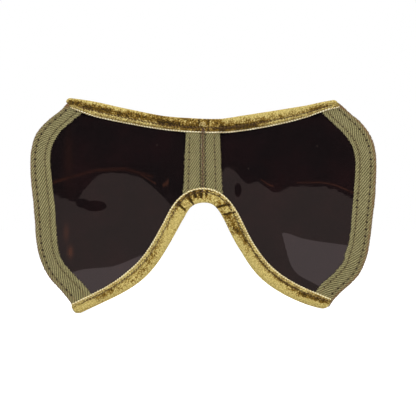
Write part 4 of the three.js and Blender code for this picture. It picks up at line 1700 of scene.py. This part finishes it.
@dataclass(frozen=True)
class FoldSeam:
    """The hand stitching that joins the two inner tapes, and the knotted end of its thread on the brow."""

    foot: float = 6.9
    top: float = 37.4
    pitch: float = 1.85
    reach: float = 1.35
    slant: float = 0.9
    sway: float = 0.1
    radius: float = 0.2
    hole_radius: float = 0.4
    hole_rise: float = 0.32
    line_radius: float = 0.36
    line_rise: float = 1.44
    core_radius: float = 0.8
    rise: float = 1.36
    core_rise: float = 1.28
    arc: float = 0.2
    sunk: float = 0.1
    bends: int = 8
    sway_step: float = 2.3
    hole_sides: int = 8
    brow_lift: float = 0.2
    brow_span: Span = (33.0, 35.0)
    fill_past: float = 1.5
    fill_points: int = 60
    line_sway: float = 0.16
    line_wave: float = 1.9
    blend_reach: float = 1.6
    knot: Span = (0.35, 38.9)
    knot_turns: Knots = (
        *((-2.0, -0.9), (-1.6, 0.9), (-0.5, 1.1), (-0.1, -0.4), (-0.9, -0.5), (-0.6, 0.5)),
        *((0.4, 1.0), (1.2, 0.5), (0.5, -0.7), (1.3, -1.0), (2.2, -0.6)),
    )
    knot_points: int = 60
    knot_radius: float = 0.26
    knot_rise: float = 1.7
    knot_bob: float = 0.2
    tacks: tuple[tuple[float, float, float, float], ...] = (
        *((-0.7, 34.3, -0.2, 36.6), (0.2, 34.0, 0.1, 37.2), (0.9, 34.4, 0.5, 36.9)),
        *((-0.4, 36.8, 0.9, 36.2),),
    )
    tack_rise: float = 1.74
    tack_arc: float = 0.12
    tack_bends: int = 6

    def build(self) -> None:
        """Makes the seam on both faces and the knot."""
        for face in Face:
            self.whip(face)
        self.fill()
        self.tack()
        self.tie()

    def whip(self, face: Face) -> None:
        """Winds slanting stitches over the fold on one face, from needle hole to needle hole."""
        bundle = ThreadBundle(f"fold_seam_{face.word}_stitches")
        # The needle holes, as dark stubs of painted shade.
        pits = ThreadBundle(f"fold_seam_{face.word}_needle_holes", sides=self.hole_sides)
        share = np.linspace(0, 1, self.bends)
        for i, z in enumerate(np.arange(self.foot, self.top - self.slant, self.pitch)):
            x = (2 * share - 1) * self.reach + self.sway * math.sin(self.sway_step * i)
            y = face.value * (self.lifted(z) + self.arc * np.sin(math.pi * share) - self.sunk)
            path = np.stack([x, y, z + self.slant * share], axis=1)
            bundle.lay(path, self.radius)
            for hole in path[[0, -1]]:
                pits.prick(hole, face, self.hole_rise, self.hole_radius)
        obj = self.join(bundle, WHIP_FINISH)
        if face is Face.FRONT:
            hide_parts("fold_seam_thread")
        self.join(pits, HOLE_SHADE_FINISH)

    def join(self, bundle: ThreadBundle, finish: Finish) -> bpy.types.Object:
        """Makes the piece of a bundle."""
        obj = bundle.build(finish, "seam_thread")
        bend_across(obj)
        return obj

    def lifted(self, z: float) -> float:
        """How far the stitches stand off the middle plane at a height, which is more beside the brow ribbon."""
        return self.rise + self.brow_lift * float(smoothstep(np.array(z), *self.brow_span))

    def fill(self) -> None:
        """Lays the padding threads between the two tapes, and a dark thread along the fold on each face."""
        height = np.linspace(self.foot - self.fill_past, self.top, self.fill_points)
        straight, level = np.zeros(len(height)), np.ones(len(height))
        sway = self.line_sway * np.sin(self.line_wave * height)
        padding = ThreadBundle("fold_seam_filling", sides=8)
        line = ThreadBundle("fold_seam_line")
        for face in Face:
            core_y = face.value * (self.core_rise - self.core_radius)
            padding.lay(np.stack([straight, level * core_y, height], axis=1), self.core_radius)
            line.lay(np.stack([sway, level * face.value * self.line_rise, height], axis=1), self.line_radius)
        self.join(padding, CORE_FINISH)
        self.join(line, SEAM_FINISH)

    def tack(self) -> None:
        """Sews the seam's top end over the brow ribbon's selvedge."""
        bundle = ThreadBundle("fold_seam_tacks")
        share = np.linspace(0, 1, self.tack_bends)
        rise = self.tack_rise + self.tack_arc * np.sin(math.pi * share)
        for x0, z0, x1, z1 in self.tacks:
            bundle.lay(np.stack([mix(x0, x1, share), -rise, mix(z0, z1, share)], axis=1), self.knot_radius)
        self.join(bundle, SEAM_FINISH)

    def tie(self) -> None:
        """Curls the thread's end into a small knot on the brow ribbon."""
        turns = np.array(self.knot_turns).T
        share = np.linspace(0, turns.shape[1] - 1, self.knot_points)
        x, z = (soften(np.interp(share, range(len(line)), line), span=4, spread=2.2) for line in turns)
        y = -(self.knot_rise + self.knot_bob * np.cos(math.pi * share))
        bundle = ThreadBundle("brow_knot")
        bundle.lay(np.stack([self.knot[0] + x, y, self.knot[1] + z], axis=1), self.knot_radius)
        self.join(bundle, KNOT_FINISH)


@dataclass(frozen=True)
class Studio:
    """White floor, soft lamps, the cards that the glossy lenses mirror, and the camera. Lengths are metres."""

    floor_z: float = -0.0552
    floor_size: float = 8.0
    frame_width: float = 0.208
    aim_x: float = 0.0026
    sensor: float = 36.0
    card_wide: float = 10.0
    card_tall: float = 1.4
    warm_size: Span = (0.24, 0.006)
    warm_place: tuple[float, float, float] = (0.24, 0.01, 0.026)
    card_dark: Colour = (0.0, 0.0, 0.0, 1.0)
    card_warm: Colour = (0.6, 0.2, 0.1, 1.0)
    card_dim: Colour = (0.32, 0.245, 0.225, 1.0)
    card_pale: Colour = (0.92, 0.74, 0.74, 1.0)
    world_light: float = 0.5
    floor_colour: float = 0.8
    floor_glow: float = 0.66
    lamps: tuple[tuple[str, tuple[float, float, float], float, float], ...] = (
        ("key_lamp", (-0.5, -1.0, 1.0), 0.9, 12.0),
        ("fill_lamp", (0.8, -1.0, 0.5), 1.0, 5.5),
        ("rim_lamp", (0.1, 0.8, 0.9), 0.8, 4.0),
    )

    def build(self) -> None:
        """Makes the whole stage."""
        self.light_world()
        self.lay_floor()
        self.hang_cards()
        for name, place, size, power in self.lamps:
            self.hang_lamp(name, place, size, power)
        self.set_camera()

    @staticmethod
    def seen(shader: Shader) -> bpy.types.NodeSocket:
        """1 for the rays that show the background: camera, mirrored and passing rays."""
        path = shader.add("LightPath").outputs
        mirrored = shader.math("MAXIMUM", path["Is Glossy Ray"], path["Is Transmission Ray"])
        return shader.math("MAXIMUM", path["Is Camera Ray"], mirrored)

    def light_world(self) -> None:
        """A white background that lights the scene softly."""
        world = bpy.data.worlds.new("studio")
        world.use_nodes = True
        bpy.context.scene.world = world
        shader = Shader(world.node_tree)
        background = world.node_tree.nodes["Background"]
        background.inputs["Color"].default_value = (1, 1, 1, 1)
        span = shader.add("MapRange", {0: self.seen(shader), 3: self.world_light, 4: 1.0})
        shader.tree.links.new(span.outputs[0], background.inputs["Strength"])

    @staticmethod
    def matt(obj: bpy.types.Object, base: Colour, glow: Colour) -> tuple[Shader, bpy.types.Node]:
        """Gives a panel a matt surface that can shine.

        Args:
            obj: The panel.
            base: Colour that it shows under the lamps.
            glow: Colour of its own light.

        Returns:
            Its shader and its surface node, whose strength of light is still to be set.
        """
        material = bpy.data.materials.new(obj.name)
        material.use_nodes = True
        shader = Shader(material.node_tree)
        surface = material.node_tree.nodes["Principled BSDF"]
        shader.fill(surface, {"Base Color": base, "Roughness": 1, "Specular IOR Level": 0, "Emission Color": glow})
        obj.data.materials.append(material)
        return shader, surface

    def lay_floor(self) -> None:
        """A white floor under the tips that keeps the shadow."""
        obj = self.panel("floor", (self.floor_size, self.floor_size), (0, 0, self.floor_z), (0, 0, 0))
        grey = self.floor_colour
        shader, surface = self.matt(obj, (grey, grey, grey, 1), (1, 1, 1, 1))
        glow = shader.math("MULTIPLY", self.seen(shader), self.floor_glow)
        shader.fill(surface, {"Emission Strength": glow})

    def hang_cards(self) -> None:
        """A dark card above the camera, with a warm line along it, and dim ones below it. Only mirrors show them."""
        wide, tall, far, near = self.card_wide, self.card_tall, -MIRROR.far * MM, -MIRROR.near * MM
        split, low = MIRROR.split_z * MM, MIRROR.low_z * MM
        upright, lying = (math.pi / 2, 0, 0), (0, 0, 0)
        side, before, above = self.warm_place
        cards = (
            ("dark_card", (wide, tall), (0, far, split + tall / 2), upright, self.card_dark),
            ("low_card", (wide, split - low), (0, far, (split + low) / 2), upright, self.card_dim),
            ("grey_card", (wide, near - far), (0, (near + far) / 2, low), lying, self.card_dim),
            ("pale_card", (wide, -near), (0, near / 2, low), lying, self.card_pale),
            ("warm_card", self.warm_size, (side, far + before, split + above), upright, self.card_warm),
        )
        for name, size, place, turn, colour in cards:
            obj = self.panel(name, size, place, turn)
            shader, surface = self.matt(obj, (0, 0, 0, 1), colour)
            shader.fill(surface, {"Emission Strength": 1.0})
            obj.visible_camera = obj.visible_diffuse = obj.visible_shadow = obj.visible_transmission = False

    @staticmethod
    def panel(
        name: str, size: tuple[float, float], place: Sequence[float], turn: Sequence[float]
    ) -> bpy.types.Object:
        """A flat stage panel.

        Args:
            name: Name of the panel.
            size: Its width and length.
            place: Its middle.
            turn: Its rotation.

        Returns:
            The panel.
        """
        wide, long = size[0] / 2, size[1] / 2
        mesh = bpy.data.meshes.new(name)
        mesh.from_pydata([(-wide, -long, 0), (wide, -long, 0), (wide, long, 0), (-wide, long, 0)], [], [(0, 1, 2, 3)])
        obj = bpy.data.objects.new(name, mesh)
        obj.location, obj.rotation_euler = place, turn
        bpy.context.scene.collection.objects.link(obj)
        return obj

    @staticmethod
    def hang_lamp(name: str, place: Sequence[float], size: float, power: float) -> None:
        """A soft square lamp that faces the goggles.

        Args:
            name: Name of the lamp.
            place: Where it hangs.
            size: Its width.
            power: Its power in watts.
        """
        lamp = bpy.data.lights.new(name, "AREA")
        lamp.size, lamp.energy = size, power
        obj = bpy.data.objects.new(name, lamp)
        obj.location = place
        obj.visible_glossy = False
        obj.rotation_euler = (-Vector(place)).to_track_quat("-Z", "Y").to_euler()
        bpy.context.scene.collection.objects.link(obj)

    def set_camera(self) -> None:
        """A camera straight in front, far enough to flatten the view."""
        camera = bpy.data.cameras.new("camera")
        camera.sensor_width = self.sensor
        reach = MIRROR.eye * MM
        camera.lens = self.sensor * reach / self.frame_width
        obj = bpy.data.objects.new("camera", camera)
        obj.location = (self.aim_x, -reach, MIRROR.eye_z * MM)
        obj.rotation_euler = (math.pi / 2, 0, 0)
        bpy.context.scene.collection.objects.link(obj)
        bpy.context.scene.camera = obj


LEFT_LENS = LensSheet(
    Half.LEFT,
    ridge=(
        *((9, -8), (17, -1.2), (21, 3.7), (26, 8.7), (31, 12.7), (39, 14.7), (45, 15.2)),
        *((51, 14.4), (54, 12.3), (57.9, 7.8), (60, 5.8), (61.2, 4.2), (61.8, 0), (63.4, -0.2)),
        *((68.8, 1.7), (76, 4.5)),
    ),
    shine=(
        *((20, -25), (29.6, -26), (35.4, -28.3), (40.4, -30.4), (45.4, -32.1)),
        *((59.6, -33.3), (64.6, -34.6), (80, -42)),
    ),
    fade=((0, -70), (80, -70)),
    dimples=((59.8, -0.4, 2.4, 1.7, 0.7), (53.4, -1.9, 5.8, 2.7, 0.8)),
    # Spots and lines of painted warm reflection.
    glints=((68.2, -15.0, 1.2, 4.0, 0.26), (66.2, -24.7, 1.3, 2.8, 0.45), (67.0, 22.0, 2.2, 12.0, 0.07)),
    streaks=(
        *((74.6, 10.0, 67.9, 12.1, 0.2), (67.9, 12.1, 52.9, 16.2, 0.12)),
        *((52.9, 16.2, 38.8, 16.8, 0.15), (38.8, 16.8, 25.4, 12.9, 0.13)),
    ),
)
RIGHT_LENS = LensSheet(
    Half.RIGHT,
    ridge=(
        *((9.7, 17.2), (11.7, 18.2), (14.2, 17.2), (17.2, 14.7), (20.2, 10.7), (22.7, 8.7), (27.2, 10.7)),
        *((29.7, 9.2), (32.7, 6.2), (36.2, 4.7), (39.2, 5.2), (41.7, 7.2), (46.2, 8.2), (53, 8.1)),
        *((58.8, 8.2), (66.2, 6.5), (72.5, 3), (76, 0.8)),
    ),
    shine=((10, -14.5), (40.2, -15), (43.7, -15.7), (48.7, -17.7), (56, -19.2), (71.5, -21.3), (78, -22)),
    fade=(
        *((0, -10), (37, -10), (39.3, -15), (41.5, -22.5), (43, -29)),
        *((44.7, -32.8), (48.2, -36.4), (53.2, -39), (58, -41.5), (80, -60)),
    ),
    dimples=((17.5, 5.7, 1.7, 3.6, 0.75),),
    sink=0.4,
)
SIDE_TAPES = (
    SideTape(
        Half.LEFT,
        LAYERS.side_leg,
        rows=(("side_outer", 2.5, 0.5), ("side_inner", 7.8, 0.28)),
        name="side_tape",
        flat_size=(21.2, 130.0),
        hem=1.75,
        hem_wear=0.35,
        fold_line=(
            *((-9, 1.9), (-1, 0.9), (2.5, 0.4), (6, 0.95), (9, 0.95), (15, 0.1), (24, -0.35), (31, 0), (46, 0.1)),
            *((57, 0.7), (69, 0.7), (78, 0.1), (90, 0.1), (97, -0.4), (114, -0.8)),
        ),
        lens_line=(
            *((-9, 9.2), (3, 8.8), (15, 8.5), (27, 9.6), (39, 9.9), (48, 10.6), (63, 11.4)),
            *((78, 10.5), (87, 10.0), (99, 9.6), (108, 9.5), (120, 10.3)),
        ),
    ),
    SideTape(
        Half.RIGHT,
        LAYERS.side_leg,
        rows=(("side_outer", 2.8, 0.5), ("side_inner", 8.3, 0.28)),
        name="side_tape",
        flat_size=(21.2, 130.0),
        hem=1.1,
        hem_wear=0.85,
        fold_line=(
            *((-9, 0.5), (3, 0.2), (11, 0.25), (16, -0.35), (33, -0.5), (57, -0.5), (69, -0.05)),
            *((81, -0.15), (90, -0.25), (96, -0.7), (105, -0.25), (114, 0.5)),
        ),
        lens_line=(
            *((-9, 9.0), (3, 9.5), (18, 9.8), (28, 10.2), (40, 9.9), (60, 10.4), (80, 10.05)),
            *((89, 10.5), (94, 9.35), (105, 9.2), (111, 10.1), (120, 10.3)),
        ),
    ),
)
INNER_TAPES = tuple(
    InnerTape(half, LAYERS.inner_leg, rows=(("inner_tape", row, 0.4),), name="inner_tape", flat_size=(19.8, 36.4))
    for half, row in ((Half.LEFT, 6.9), (Half.RIGHT, 6.0))
)
BROW_RIBBON = VelvetRibbon(
    "brow",
    BROW,
    full_width=7.4,
    widths=(
        *((-70, 3.7), (-62, 4.9), (-57, 6.0), (-52, 6.55), (-44, 6.8), (-10, 6.6), (0, 6.7)),
        *((12, 7.3), (33, 7.3), (45, 7.0), (52, 6.35), (57, 5.4), (62, 4.5), (70, 3.4)),
    ),
    lifts=(
        *((-69, -0.75), (-53, -0.55), (-43, -0.15), (-34, -0.1), (-20, 0.2), (-6, -0.08)),
        *((0, 0.1), (9.5, 0.5), (19, 0.05), (28, 0.1)),
        *((38, 0.48), (52, 0.95), (61, 0.4), (69, 0)),
    ),
    creases=(Crease(-1.7, 0.16, 0.6), Crease(2.4, 0.16, 0.6), Crease(8.5, 0.2, 0.6, 0.2, 1.0)),
    # Pressed nap with painted shade, and painted highlight where the depth is below 0.
    streaks=(
        NapStreak((-68, 1.6), (-60, 1.8), 0.75, 1.3),
        NapStreak((-59, 2.6), (-36, 2.8), 0.8, 1.5),
        NapStreak((-36, 2.2), (-19, 2.4), 0.75, 1.9),
        NapStreak((-27, 0.8), (8, 0.9), 0.7),
        NapStreak((-19, 3.0), (-12, 3.4), 0.88, 2.3),
        NapStreak((-12, 3.6), (-6, 4.2), 0.62, 2.6),
        NapStreak((-3, 2.0), (6, 2.2), 0.55, 1.6),
        NapStreak((-5, 5.4), (5, 5.2), 0.4, 1.5),
        NapStreak((7, 5.2), (24, 5.4), 0.82, 1.8),
        NapStreak((8, 2.6), (30, 3.0), 0.4, 1.4),
        NapStreak((24, 5.0), (30, 4.6), 0.6, 1.4),
        NapStreak((30, 3.6), (56, 3.4), 0.32, 1.3),
        NapStreak((54, 2.2), (60, 2.0), 0.45, 1.5),
    ),
    overrun=(2.0, 1.0),
    end_skew=(-2.0, 1.2),
    corner_round=2.2,
    seed=1.0,
    trim=BROW_TRIM_FINISH,
    row_margin=2.6,
)
CHEEK_RIBBON = VelvetRibbon(
    "cheek",
    CHEEK,
    full_width=7.6,
    widths=(
        *((-90, 4.4), (-70, 5.0), (-59, 6.15), (-54, 6.75), (-48, 6.9), (-27, 7.0)),
        *((-19, 6.65), (-11, 6.8), (0, 6.8), (16, 6.95), (40, 6.9), (51, 6.6)),
        *((62, 5.95), (68, 5.65), (74, 5.75), (90, 6.5)),
    ),
    lifts=(
        *((-90, -1.05), (-65, -0.82), (-46, -0.5), (-30, -0.22)),
        *((-19, -0.7), (-12.5, -0.83), (-6.5, -0.05), (0, -0.15)),
        *((5, 0.42), (14, -0.25), (22, -0.4), (33, -0.1), (47, -0.75)),
        *((64, -1.3), (70, -1.28), (75, -1.0), (80, -0.35), (84, 0.55), (90, 1.6)),
    ),
    creases=(
        Crease(-9.7, 0.65, 0.6, 0.1, 0.5),
        Crease(-4.9, 0.75, 0.5),
        Crease(-2.6, 0.4, 0.5, 0.0, 2.2),
        Crease(-0.6, 0.45, 0.5, 0.0, 1.6),
        Crease(1.2, 0.35, 0.4, 0.0, 2.0),
        Crease(7.3, 0.75, 0.5, 0.45),
        Crease(12.0, 0.65, 0.5, 0.3, 0.6),
    ),
    # Pressed nap with painted shade, and painted highlight where the depth is below 0.
    streaks=(
        NapStreak((-88, 2.0), (-77, 2.0), -0.25),
        NapStreak((-74, 2.5), (-67, 2.7), 0.42, 1.3),
        NapStreak((-62, 2.2), (-46, 2.7), 0.3, 1.1),
        NapStreak((-46, 2.8), (-36, 3.6), 0.46, 1.3),
        NapStreak((-36, 4.0), (-29, 4.4), 0.28, 1.1),
        NapStreak((-22, 3.0), (-15, 3.2), -0.18),
        NapStreak((-13, 5.6), (-9, 5.8), 0.35),
        NapStreak((-7, 6.2), (8, 6.2), 0.32, 1.0),
        NapStreak((-2, 2.4), (7, 2.2), 0.28, 1.5),
        NapStreak((10, 0.9), (23, 0.9), 0.48),
        NapStreak((10.5, 4.6), (13.5, 5.4), -0.32, 1.1),
        NapStreak((16, 2.6), (24, 3.4), 0.74, 1.4),
        NapStreak((22, 4.2), (29, 4.4), 0.55),
        NapStreak((29, 3.4), (32, 3.6), 0.35),
        NapStreak((32, 5.3), (50, 5.1), 0.5, 0.5),
        NapStreak((36, 3.3), (56, 3.0), -0.3, 0.7),
        NapStreak((38, 1.9), (52, 1.9), -0.15),
        NapStreak((50, 5.0), (68, 4.2), 0.6, 0.5),
        NapStreak((40, 4.4), (49, 4.4), 0.26, 0.9),
        NapStreak((58, 6.0), (62, 6.0), 0.25, 0.9),
        NapStreak((64, 4.0), (70, 3.6), 0.3, 1.0),
        NapStreak((70, 3.4), (84, 3.9), 0.66, 1.1),
        NapStreak((72, 1.5), (86, 1.7), -0.34, 0.8),
        NapStreak((78, 5.4), (87, 5.2), 0.5),
    ),
    selvedge_radius=0.44,
    overrun=(1.8, -0.7),
    end_skew=(0.0, 0.0),
    corner_round=3.2,
    seed=2.0,
    trim=CHEEK_TRIM_FINISH,
    row_margin=1.9,
)


def main() -> None:
    """Builds the goggles piece by piece, then the stage."""
    logging.basicConfig(level=logging.INFO)
    for sheet in (LEFT_LENS, RIGHT_LENS):
        LOG.info("made %s", sheet.build().name)
    for tape in (*SIDE_TAPES, *INNER_TAPES):
        LOG.info("made %s", tape.build().name)
    for ribbon in (BROW_RIBBON, CHEEK_RIBBON):
        LOG.info("made %s", ribbon.build().name)
    FoldSeam().build()
    LOG.info("made the fold seam")
    Studio().build()
    bpy.context.scene.view_settings.view_transform = "Standard"


if __name__ == "__main__":
    main()
